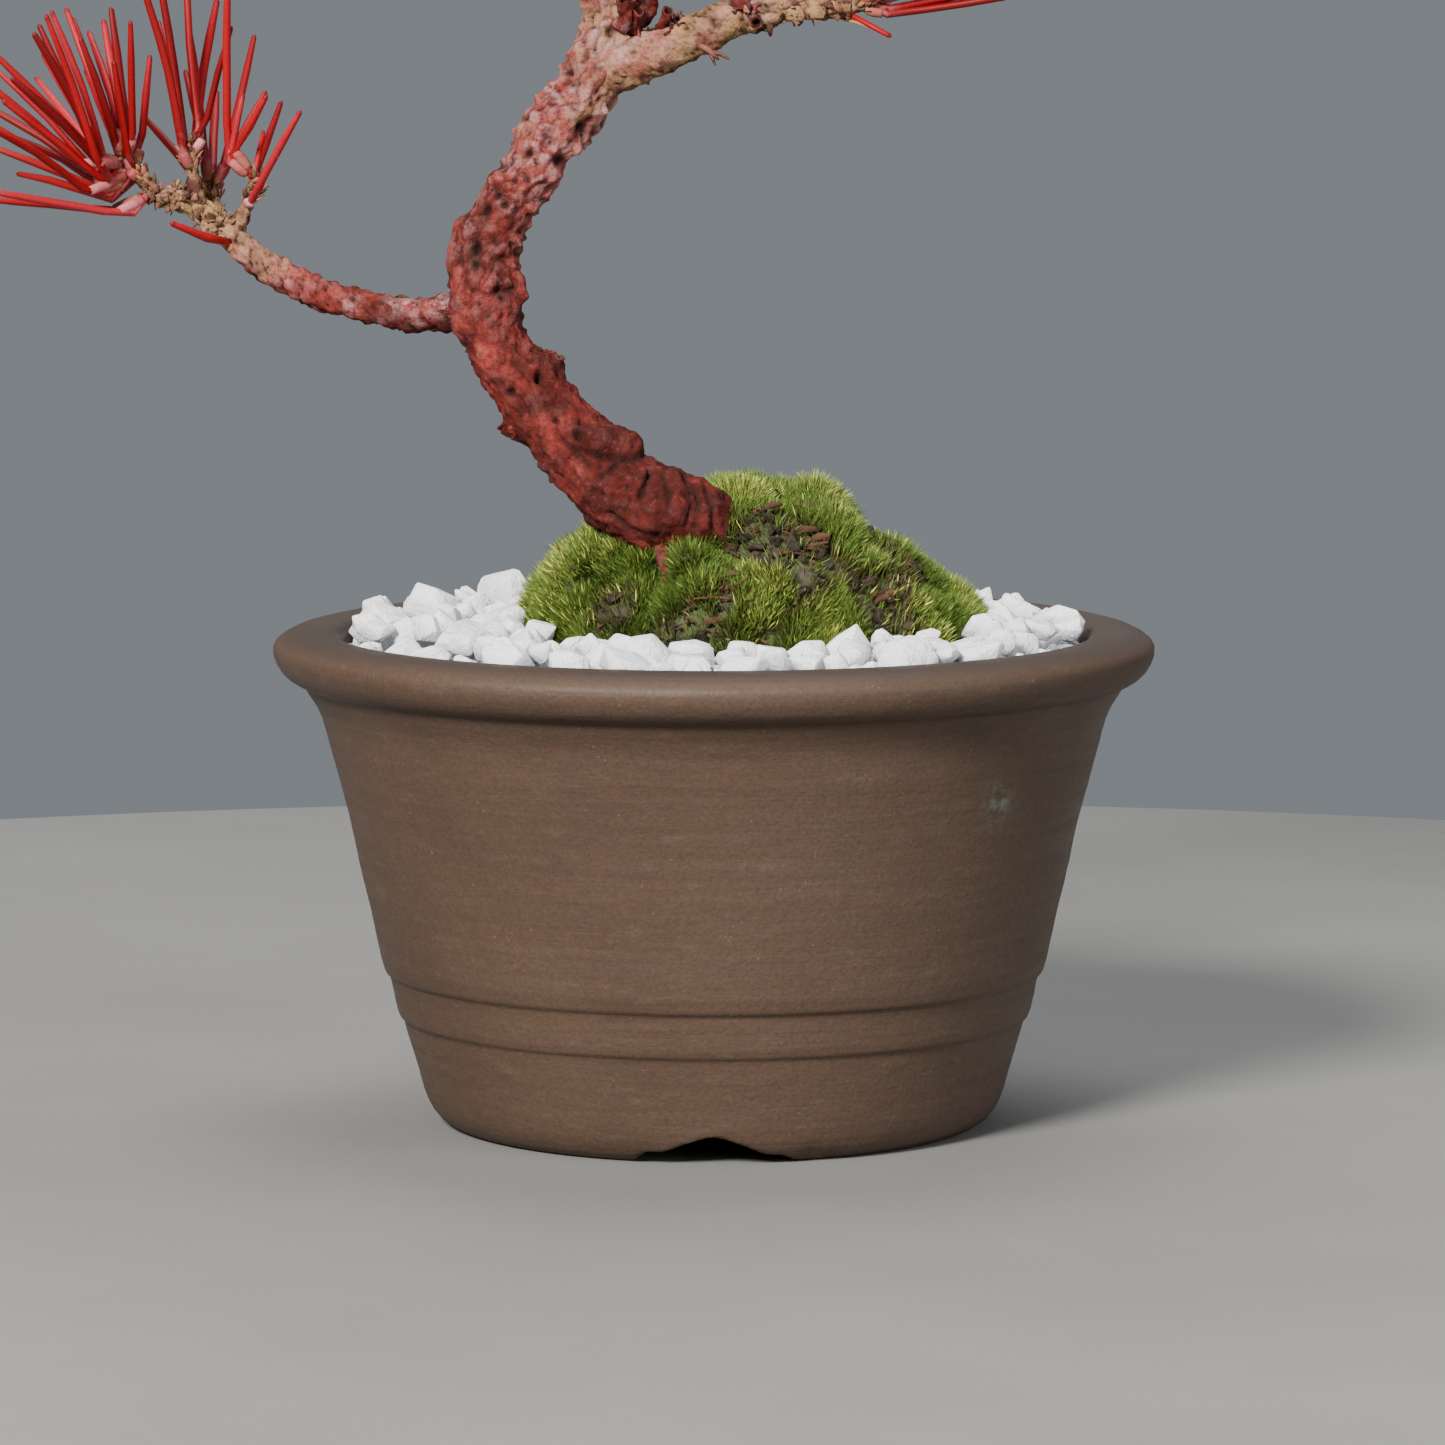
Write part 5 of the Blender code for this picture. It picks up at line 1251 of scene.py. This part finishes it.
def add_features(points, turn, relief, dark):
    """Folds, rolls, pits and swellings where the photo shows them on the trunk, with painted shade in the
    folds and pits.
    """
    x, z = points[..., 0], points[..., 2]
    facing = ramp(np.cos(turn), -0.1, 0.35)
    for depth, width, line in FOLDS:
        groove = bell(line_distance(x, z, line) / width) * facing
        relief = relief - depth * groove
        # painted shade in the fold's groove
        dark = np.maximum(dark, 0.9 * groove)
    for stand, width, line in ROLLS:
        roll = bell(line_distance(x, z, line) / width) * facing
        relief = relief + stand * roll * (1 + 0.25 * soft_noise(points, 1.6, 61))
    for pit_x, pit_z, size, depth in PITS:
        hole = bell(np.hypot(x - pit_x, z - pit_z) / (1.15 * size)) * facing
        relief = relief - 1.2 * depth * hole
        # painted shade in the pit
        dark = np.maximum(dark, held(1.4 * hole))
    for *centre, spread, stand in BURRS:
        swelling = bell(np.linalg.norm(points - centre, axis=-1) / spread)
        relief = relief + stand * swelling * (1 + 0.35 * soft_noise(points, 1.4, 56))
    return relief, dark


def add_wear(points, level, relief, dark):
    """Small holes and warts strewn over the trunk, the holes painted dark as shade."""
    draw = random.Random(WEAR_SEED)
    rings, sides = relief.shape
    for _ in range(150):
        ring, side = draw.randrange(50, rings - 60), draw.randrange(sides)
        size = draw.uniform(0.3, 0.5) * (1.5 if level[ring] > 112 else 1)
        hole = bell(np.linalg.norm(points - points[ring, side], axis=-1) / size)
        relief = relief - draw.uniform(0.3, 0.8) * hole
        # painted shade in the hole
        dark = np.maximum(dark, 0.9 * hole)
    for _ in range(280):
        ring, side = draw.randrange(170, rings - 60), draw.randrange(sides)
        wart = bell(np.linalg.norm(points - points[ring, side], axis=-1) / draw.uniform(0.35, 0.6))
        relief = relief + draw.uniform(0.3, 0.75) * wart
    return relief, dark


def make_trunk(shape):
    """The trunk: a rough, wrinkled foot that turns into spiral leaf cushions above."""
    sides = 124
    route = fine_route(TRUNK, 0.36)
    level, girth = route[:, 2:3], route[:, 3:]
    points, turn, along = plain_tube(route, sides, TO_CAMERA)

    def soft(grain, seed):
        return soft_noise(points, grain, seed)

    def crests(grain, seed):
        return 1 - 2 * np.abs(soft(grain, seed))

    upper = ramp(level + 2.6 * soft(4, 41), 105, 113)
    lower = 1 - upper
    grit = 0.2 * soft(0.9, 43) + 0.17 * soft(0.55, 47)
    bent_along, bent_turn = along + 1.1 * soft(2.6, 52), turn + 0.24 * soft(2.2, 53)
    rise, pit, edge = cushions(bent_along, bent_turn, girth, 3.3, 2.3, 51)
    chips = 0.2 * crests(2.4, 58) + 0.1 * crests(1.2, 59)
    rolled = np.stack([4.4 * np.cos(bent_turn), 4.4 * np.sin(bent_turn), 0.36 * bent_along], axis=-1)
    ridges = soft_noise(rolled, 1.15, 63)
    high = np.clip(girth / 4.4, 0.4, 1.1) * (rise - 1.3 * pit + 0.4 * ridges + chips - 0.95)
    high = softened(high + 0.4 * soft(2.8, 42), 4) + 0.5 * grit
    scales = crests(1.25, 54)
    low = 0.36 * soft(4.4, 45) + 0.2 * crests(2.6, 44) + 0.2 * scales
    low = low + 0.2 * soft(1.5, 46) + 1.3 * grit - 0.45
    hollow = ramp(-scales - 0.6 * soft(0.9, 55), 0.2, 1)
    gaps = ramp(-chips - 0.1 * soft(0.8, 60), 0.08, 0.4) + 0.5 * ramp(-ridges, 0.25, 0.7)
    # painted shade: darker in pits, between leaf cushions, in gaps and in hollows
    dark = upper * (pit + 0.6 * (1 - edge) ** 2.5 + 0.4 * gaps) + lower * 0.55 * hollow
    relief, dark = add_features(points, turn, upper * high + lower * low, dark)
    relief, dark = add_wear(points, level, relief, dark)
    heights, paints, blooms = zip(*TRUNK_PAINT)
    paint = np.interp(level, heights, paints) + 0.2 * soft(2.6, 48) + 0.1 * soft(8, 49) + 0.13 * soft(1.3, 62)
    # painted highlight: the pale bloom is made stronger on raised cushions, ridges and scales
    raised = upper * (0.7 * rise + 0.5 * ramp(ridges, 0, 0.6)) + lower * ramp(low, -0.6, 0.5)
    bloom = np.interp(level, heights, blooms) * np.clip(0.15 + raised + 0.5 * soft(3.6, 50), 0, 1.2)
    tube(shape, route, sides, TO_CAMERA, relief=relief, paint=held(paint), bloom=held(bloom), pit=held(dark))


def make_branch(shape, points, paints, seed):
    """A branch with small leaf cushions, paint that thins out towards its tip, dark scars, painted shade in
    its crevices and on its underside, and pale bloom only on its upper side as a painted highlight.
    """
    sides = 36
    route = fine_route(points, 0.4)
    level, girth = route[:, 2:3], route[:, 3:]
    places, turn, along = plain_tube(route, sides)

    def soft(grain, offset):
        return soft_noise(places, grain, seed + offset)

    lumps, fine = soft(1.4, 5), soft(0.6, 6)
    rise, pit, edge = cushions(along + 0.7 * soft(2.4, 7), turn, girth, 3.2, 2, seed)
    relief = (0.62 * rise - 0.6 * pit - 0.36) * ramp(along, 0.5, 4) + 0.24 * lumps + 0.12 * fine
    share = along[:, :1] / along[-1, 0]
    paint = np.interp(share, np.linspace(0, 1, len(paints)), paints) + 0.16 * lumps + 0.2 * soft(4, 8)
    # the underside of the branch, painted darker as shade and kept free of bloom
    shaded_underside = ramp((level - places[..., 2]) / girth, 0.3, 1)
    stains = 0.45 * ramp(soft(1.9, 10) + 0.3 * fine, 0.15, 0.6)
    # painted shade in pits, between cushions and on the underside; the stains are the bark's own mottling
    dark = held(pit + 0.7 * (1 - edge) ** 3 + 0.5 * shaded_underside * ramp(lumps, 0, 0.3) + stains)
    # painted highlight: bloom only on the branch's upper side
    bloom = held(0.3 + 0.6 * soft(3.1, 9)) * (1 - shaded_underside)
    tube(shape, route, sides, relief=relief, paint=held(paint), bloom=bloom, pit=dark)


def make_twig(shape, spray, seed):
    """The twig that carries a spray, with its core of crowded scales."""
    size = 0.62 if spray.seen else 1
    radii = (1.35, 1.2 * size, 1.2 * size, 1.4 * size, 0.8 * size)
    spots = (spray.start, spray.base, spray.foot, (spray.foot + spray.head) / 2, spray.head)
    route = fine_route(sized(spots, radii), 0.4)
    sides = 30
    steady = steady_axis(spray.way)
    places, turn, along = plain_tube(route, sides, steady)
    rise, pit, _ = cushions(along, turn, route[:, 3:], 1.7, 1.1, seed)
    soft = soft_noise(places, 1.2, seed + 3)
    relief = 0.45 * rise - 0.3 * pit - 0.1 + 0.14 * soft
    # painted shade in the pits; the rest is the twig's own mottling
    dark = held(pit + 0.5 * ramp(soft, 0, 0.4) + (0.25 if spray.seen else 0.1))
    tube(shape, route, sides, steady, relief=relief, paint=held(0.12 + 0.3 * soft), bloom=0.2, pit=dark)


def make_stub(shape, foot, end, radius, seed):
    """The stub of a cut shoot: a short crooked tube with a torn, hollow end, painted dark inside as shade."""
    draw = random.Random(seed)
    foot, end = np.array(foot), np.array(end)
    length = np.linalg.norm(end - foot)
    way = (end - foot) / length
    middle = (foot + end) / 2 + [draw.gauss(0, 0.09 * length) for _ in range(3)]
    route = fine_route(sized((foot, middle, end), radius * np.array([1.3, 0.92, 1.1])), 0.3)
    lip = (end + way * 0.12, end, end - way * 0.5, end - way * 1.1)
    route = np.vstack([route, sized(lip, radius * np.array([0.92, 0.66, 0.55, 0.42]))])
    sides = 24
    steady = steady_axis(way)
    places, _, _ = plain_tube(route, sides, steady, way)
    soft, ragged = soft_noise(places, 0.8, seed), soft_noise(places, 1.1, seed + 1)
    relief = radius * (0.3 * soft + 0.22 * ragged)
    relief[-3:] *= 0.4
    # painted shade in the stub's dips and inside its hollow end
    dark = 0.4 * ramp(-soft, 0.1, 0.7)
    dark[-3:] = 1
    torn = 0.55 * radius * soft_noise(places[-4], 0.9, seed + 40)
    slide = torn * np.r_[np.zeros(len(route) - 7), 0.3, 0.6, 1, 1, 1, 0.5, 0][:, None]
    marks = {"paint": held(0.8 + 0.25 * soft), "bloom": held(0.15 + 0.5 * ragged), "pit": dark}
    tube(shape, route, sides, steady, way, relief=relief, slide=slide, **marks)


def add_flake(shape, start, end, wide, red, dark, curl):
    """A thin curled flake of bark or a dead scale."""
    start, end = Vector(start), Vector(end)
    middle = start.lerp(end, 0.5) + Vector(curl) * (end - start).length
    route = sized((start, start.lerp(middle, 0.6), middle, end), wide * np.array([0.75, 1, 0.95, 0.3]))
    pit = held(dark + np.array([0.3, 0, -0.1, 0.1]))
    tube(shape, route, 8, steady_axis(end - start), flatten=0.38, paint=red, bloom=0.15, pit=pit)


def make_heap(shape, bark, heap, seed):
    """Flakes that stand on the bark round a place; bark holds points and radii along the wood."""
    draw = random.Random(seed)
    *centre, spread, count, low, high, dark = heap
    for _ in range(count):
        place = np.array([value + draw.gauss(0, 0.5) * spread for value in centre])
        row = bark[np.argmin(np.linalg.norm(bark[:, :3] - place, axis=1) - bark[:, 3])]
        outward = Vector(place - row[:3]).normalized()
        start = Vector(row[:3]) + outward * row[3] * 0.7
        way = outward * draw.uniform(0.6, 1.3)
        way += Vector((draw.gauss(0, 0.5), draw.gauss(0, 0.4), draw.gauss(0.3, 0.5)))
        end = start + way.normalized() * draw.uniform(1, 2.2)
        curl = [draw.gauss(0, 0.12) for _ in range(3)]
        shade = dark + draw.choice((-0.35, 0, 0.35))
        add_flake(shape, start, end, draw.uniform(0.28, 0.6), draw.uniform(low, high), shade, curl)


def make_root(shape):
    """The small root that runs down into the moss."""
    route = fine_route(SMALL_ROOT, 0.3)
    sides = 20
    soft = soft_noise(plain_tube(route, sides, TO_CAMERA)[0], 0.9, 640)
    tube(shape, route, sides, relief=0.2 * soft, paint=0.85 + 0.2 * soft, bloom=0.1, pit=0)


def make_tree(material):
    """The trunk, and as a second piece all the wood that grows on it."""
    trunk, branches = Shape(), Shape()
    make_trunk(trunk)
    for number, (points, paints) in enumerate(BRANCHES):
        make_branch(branches, points, paints, BRANCH_SEED + 10 * number)
    for number, spray in enumerate(SPRAYS):
        make_twig(branches, spray, TWIG_SEED + 10 * number)
    for number, (*ends, radius) in enumerate(STUBS):
        make_stub(branches, ends[:3], ends[3:], radius, STUB_SEED + 2 * number)
    bark = np.vstack([fine_route(points, 0.5) for points in [TRUNK] + [points for points, _ in BRANCHES]])
    for number, heap in enumerate(HEAPS):
        make_heap(branches, bark, heap, HEAP_SEED + number)
    for *ends, wide, red, dark in SCALES:
        add_flake(branches, ends[:3], ends[3:], wide, red, dark, (0.05, -0.08, 0.05))
    make_root(branches)
    return trunk.build("trunk_bark", material), branches.build("branch_bark", material)


class Room:
    """Remembers what has been placed, as rods, so that new needles stay clear of it."""

    def __init__(self):
        self.rods = np.zeros((0, 9))

    def add(self, start, end, radius, owner, core_of=NOT_A_CORE):
        self.rods = np.vstack([self.rods, (*start, *end, radius, owner, core_of)])

    def is_clear(self, start, end, radius, owner):
        """Whether a rod clears the others, and those of its own spray by less."""
        starts, ends = self.rods[:, :3], self.rods[:, 3:6]
        radii, owners, cores = self.rods[:, 6:].T
        start, end = np.array(start), np.array(end)
        line = start + (end - start) * np.linspace(0, 1, 22)[:, None]
        along = ends - starts
        offset = line[:, None] - starts
        share = held((offset * along).sum(2) / (along * along).sum(1))
        distance = np.linalg.norm(offset - share[..., None] * along, axis=2) - radii - radius
        needed = np.where(owners == owner, CLEAR_OF_OWN, CLEAR_OF_OTHERS)
        needed[cores == owner] = -math.inf
        return (distance - needed).min() > 0


def wood_room():
    """A room that holds the wood and the cores of all sprays."""
    room = Room()
    for points in [ROOT_STOCK + TRUNK] + [points for points, _ in BRANCHES]:
        rows = fine_route(points, 2)
        for first, second in zip(rows[:-1:3], rows[3::3]):
            room.add(first[:3], second[:3], max(first[3], second[3]), TREE_OWNER)
    for owner, spray in enumerate(SPRAYS):
        room.add(Vector(spray.start), spray.foot, TWIG_ROD, TREE_OWNER, owner)
        room.add(spray.foot, spray.foot + spray.way * spray.core, CORE_ROD, owner, owner)
    return room


def limit_to_crown(start, tip):
    """Shorten a needle that would pass the crown's sides."""
    reach = [abs(tip[k]) / CROWN_HALF_SIZE[k] for k in range(2)]
    if max(reach) <= 1:
        return tip
    k = 0 if reach[0] >= reach[1] else 1
    share = (math.copysign(CROWN_HALF_SIZE[k], tip[k]) - start[k]) / (tip[k] - start[k])
    return start + (tip - start) * share


def place_needles(spray, owner, room):
    """Choose the spray's needles, in a spiral up the core that leans in towards its tip."""
    draw = random.Random(f"{spray.name} {NEEDLE_SEED}")
    axis = spray.way
    across = axis.cross(Vector((0, 0, 1)) if abs(axis.z) < 0.9 else Vector((1, 0, 0))).normalized()
    lines = []
    for number in range(spray.needles):
        along = (number + 0.5) / spray.needles
        start = spray.foot + axis * (ROOT_MARGIN[0] + along * (spray.core - sum(ROOT_MARGIN)))
        for attempt in range(NEEDLE_TRIES):
            loose = 1 + attempt / 10
            turn = number * GOLDEN_ANGLE + draw.uniform(-0.2, 0.2) * loose
            lean = math.radians(TIP_LEAN + spray.lean * (1 - along**1.5) + draw.uniform(-5, 5) * loose)
            length = spray.length * draw.uniform(0.84, 1.06)
            radial = Matrix.Rotation(turn, 3, axis) @ across
            way = axis * math.cos(lean) + radial * math.sin(lean) + Vector((0, 0, NEEDLE_RISE))
            tip = limit_to_crown(start, start + way.normalized() * length)
            rod = start.lerp(tip, 2 / length), tip, NEEDLE_ROD, owner
            if (tip.z >= CROWN_BOTTOM or spray.seen) and room.is_clear(*rod):
                lines.append((start, tip))
                room.add(*rod)
                break
    return lines


def add_needle(shape, line, tint, flat_turn):
    """One half-round needle with a blunt tip along a line of places."""
    rows = fine_route([(*place, 1) for place in line], 5)
    length = lengths_along(rows)
    share = length / length[-1]
    rows[:, 3] = NEEDLE_RADIUS * np.interp(share, (0, 0.1, 0.75, 1), (0.8, 1, 1, 0.66))
    way = unit(rows[-1, :3] - rows[-2, :3])
    rows = np.vstack([rows, (*(rows[-1, :3] + way * 0.4), rows[-1, 3] * 0.5)])
    reference = np.array([math.cos(flat_turn), math.sin(flat_turn), 0.35])
    if abs(way @ reference) > 0.85 * np.linalg.norm(reference):
        reference = np.array([0, 0, 1])
    tube(shape, rows, NEEDLE_SIDES, reference, flatten=0.82, along=np.r_[share, 1], tint=tint)


def add_sheath(shape, start, end, draw):
    """The papery sheath round a needle pair's foot: it starts narrow and closes on the needles."""
    start, end = np.array(start), np.array(end)
    spots = start + (end - start) * np.array([0, 0.18, 0.5, 0.8, 1])[:, None]
    route = sized(spots, SHEATH_RADIUS * np.array([0.55, 1, 1.12, 1, 0.9]))
    tint = held(draw.uniform(0.6, 1) + np.array([-0.3, -0.1, 0, 0.05, 0]))
    tube(shape, route, 8, steady_axis(end - start), tint=tint)


def add_scales(shape, spray, draw):
    """Dried bud scales and stubs of old needles round a spray's core."""
    out = spray.way.orthogonal().normalized()
    for number in range(int(spray.core * (6 if spray.seen else 3.4))):
        along = draw.uniform(-0.1, 0.95) * (spray.core * spray.shown)
        radial = Matrix.Rotation(number * GOLDEN_ANGLE, 3, spray.way) @ out
        way = (spray.way * draw.uniform(0.5, 1.2) + radial * draw.uniform(0.4, 1)).normalized()
        start = spray.foot + spray.way * along + radial * (0.55 if spray.seen else 0.9)
        end = start + way * draw.uniform(0.9, 2.2)
        size = draw.uniform(0.3, 0.55)
        route = sized((start, start.lerp(end, 0.6), end), (size, size * 0.9, size * 0.25))
        tube(shape, route, 6, steady_axis(way), flatten=0.5, tint=draw.uniform(0.05, 0.7))


def random_aside(chord, draw):
    """A random direction across a chord."""
    aside = chord.orthogonal().normalized()
    aside.rotate(Matrix.Rotation(draw.uniform(0, 2 * math.pi), 3, chord.normalized()))
    return aside


def bent(start, tip, draw):
    """Places of a needle that bends slightly between its foot and its tip."""
    sag = draw.uniform(0, 0.03)
    chord = tip - start
    return [start, start.lerp(tip, 0.5) + random_aside(chord, draw) * chord.length * sag, tip]


def nearest_on(lines, place):
    """The place on some lines of points that lies nearest to another place."""
    spots = []
    for line in lines:
        for start, end in zip(line, line[1:]):
            start, end = Vector(start[:3]), Vector(end[:3])
            share = (place - start).dot(end - start) / (end - start).length_squared
            spots.append(start.lerp(end, max(0, min(1, share))))
    return min(spots, key=lambda spot: (spot - place).length)


def add_seen_needles(needles, sheaths, spray, draw):
    """The needles that the photo shows, each in a sheath that starts on the nearest wood."""
    branch = RIGHT_LOW_SHOOT if spray.name == "right_low_shoot" else LEFT_LOW[3:]
    for row in SEEN[spray.name]:
        base, tip = Vector(row[:3]), Vector(row[3:])
        root = nearest_on(([spray.foot, spray.head], branch), base)
        add_needle(needles, [root, *bent(base, tip, draw)], draw.uniform(0, 1), draw.uniform(0, 3))
        add_sheath(sheaths, root.lerp(base, 0.4), base.lerp(tip, 0.09), draw)


def add_guessed_needles(needles, sheaths, lines, draw):
    """Two needles in one sheath on each line."""
    for start, tip in lines:
        chord = tip - start
        way = chord.normalized()
        add_sheath(sheaths, start, start + way * SHEATH_LENGTH, draw)
        add_needle(needles, bent(start, tip, draw), draw.uniform(0.15, 0.95), draw.uniform(0, 3))
        aside = random_aside(chord, draw)
        fork = start.lerp(tip, 0.1)
        swung = (way + aside * draw.uniform(0.07, 0.16)).normalized()
        other = limit_to_crown(fork, fork + swung * chord.length * draw.uniform(0.78, 0.92))
        line = [start, *bent(fork, other, draw)]
        add_needle(needles, line, draw.uniform(0.15, 0.95), draw.uniform(0, 3))


def make_sprays(needle_skin, sheath_skin):
    """All the sprays: the needles that the photo shows, and pairs by rule for the others."""
    room = wood_room()
    sheaths = Shape()
    made = []
    for owner, spray in enumerate(SPRAYS):
        draw = random.Random("look " + spray.name)
        needles = Shape()
        lines = place_needles(spray, owner, room)
        add_scales(sheaths, spray, draw)
        if spray.seen:
            add_seen_needles(needles, sheaths, spray, draw)
        else:
            add_guessed_needles(needles, sheaths, lines, draw)
        made.append((needles.build("spray_" + spray.name, needle_skin), "needles_" + spray.name))
    return made, sheaths.build("needle_sheaths", sheath_skin)


def make_stage():
    """A pale round table top, wide enough for the view."""
    n = Nodes("pale_floor")
    fine = n.noise(900, 3, 0.7)
    colour = n.colours(n.noise(14, 4, 0.6), [(0.3, (0.155, 0.151, 0.143)), (0.7, (0.178, 0.174, 0.166))])
    colour = n.layer(colour, (0.104, 0.102, 0.096), fine, 0.3, 0.8, 0.2)
    sides = 180
    points = flat_rings((340, 345, 345), sides)
    points[..., 2] = np.array([0, -4, -50])[:, None]
    table = Shape()
    table.add(points, [np.arange(sides)[None], grid_faces(3, sides)[:, ::-1]])
    item = table.build("floor", n.finish(colour, 0.75, n.bump(fine, 0.12, 0.5)), smooth=False)


def add_light(name, place, size, power, colour):
    """A round soft light that points at the tree."""
    light = bpy.data.lights.new(name, "AREA")
    light.shape = "DISK"
    light.size = size
    light.energy = power
    light.color = colour
    item = new_object(name, light)
    item.location = place
    item.rotation_euler = (Vector(LIGHTS_AIM) - Vector(place)).to_track_quat("-Z", "Y").to_euler()


def make_view():
    """The photograph's camera, soft studio light and a plain grey surround."""
    camera = bpy.data.cameras.new("camera")
    camera.sensor_width = 36
    camera.lens = CAMERA_LENS
    camera.clip_start = 0.01
    item = new_object("camera", camera)
    item.location = CAMERA_PLACE
    item.rotation_euler = (math.radians(90 - CAMERA_TILT), 0, math.radians(CAMERA_TURN))
    bpy.context.scene.camera = item
    for light in LIGHTS:
        add_light(*light)
    world = bpy.data.worlds.new("surround")
    bpy.context.scene.world = world
    world.use_nodes = True
    background = world.node_tree.nodes["Background"]
    background.inputs["Color"].default_value = (0.2, 0.222, 0.238, 1)
    background.inputs["Strength"].default_value = 1


def dress_hidden_nodes():
    """Finishes for the solids that stay as they are: soil, drain net and its wire."""
    plastic = (0.3, (0.012, 0.012, 0.012)), (0.7, (0.028, 0.028, 0.027))
    wire = (0.3, (0.36, 0.33, 0.29)), (0.7, (0.56, 0.52, 0.46))
    soil = (0.35, (0.03, 0.022, 0.015)), (0.65, (0.11, 0.08, 0.055))
    finishes = {
        "soil": plain_material("soil", soil, 600, 0.95, 0.6),
        "drain_screen": plain_material("black_plastic", plastic, 900, 0.5, 0.03),
        "screen_clip": plain_material("wire", wire, 1200, 0.4, 0.03, metallic=1),
    }
    for name, finish in finishes.items():
        for material_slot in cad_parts[name].material_slots:
            material_slot.material = finish


def own(piece, slot, *nodes):
    """Tie a piece to the body and hide the solids that it stands for; its material slot is not used."""
    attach(piece, BODY)
    if nodes:
        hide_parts(*nodes)


make_view()
own(make_pot(clay_material()), "unglazed_clay", "pot")
own(make_gravel(stone_material()), "white_stone", "gravel")
mound_piece, shoot_pieces, litter_piece = make_moss(moss_base_material(), moss_material(), debris_material())
own(mound_piece, "moss", "moss")
for shoots_piece in shoot_pieces:
    own(shoots_piece, "moss", "moss")
own(litter_piece, "moss")
for bark_piece in make_tree(bark_material()):
    own(bark_piece, "painted_bark", "tree")
spray_pieces, sheath_piece = make_sprays(needle_material(), sheath_material())
for spray_piece, node_name in spray_pieces:
    own(spray_piece, "dyed_needle", node_name)
own(sheath_piece, "painted_bark")
dress_hidden_nodes()
make_stage()
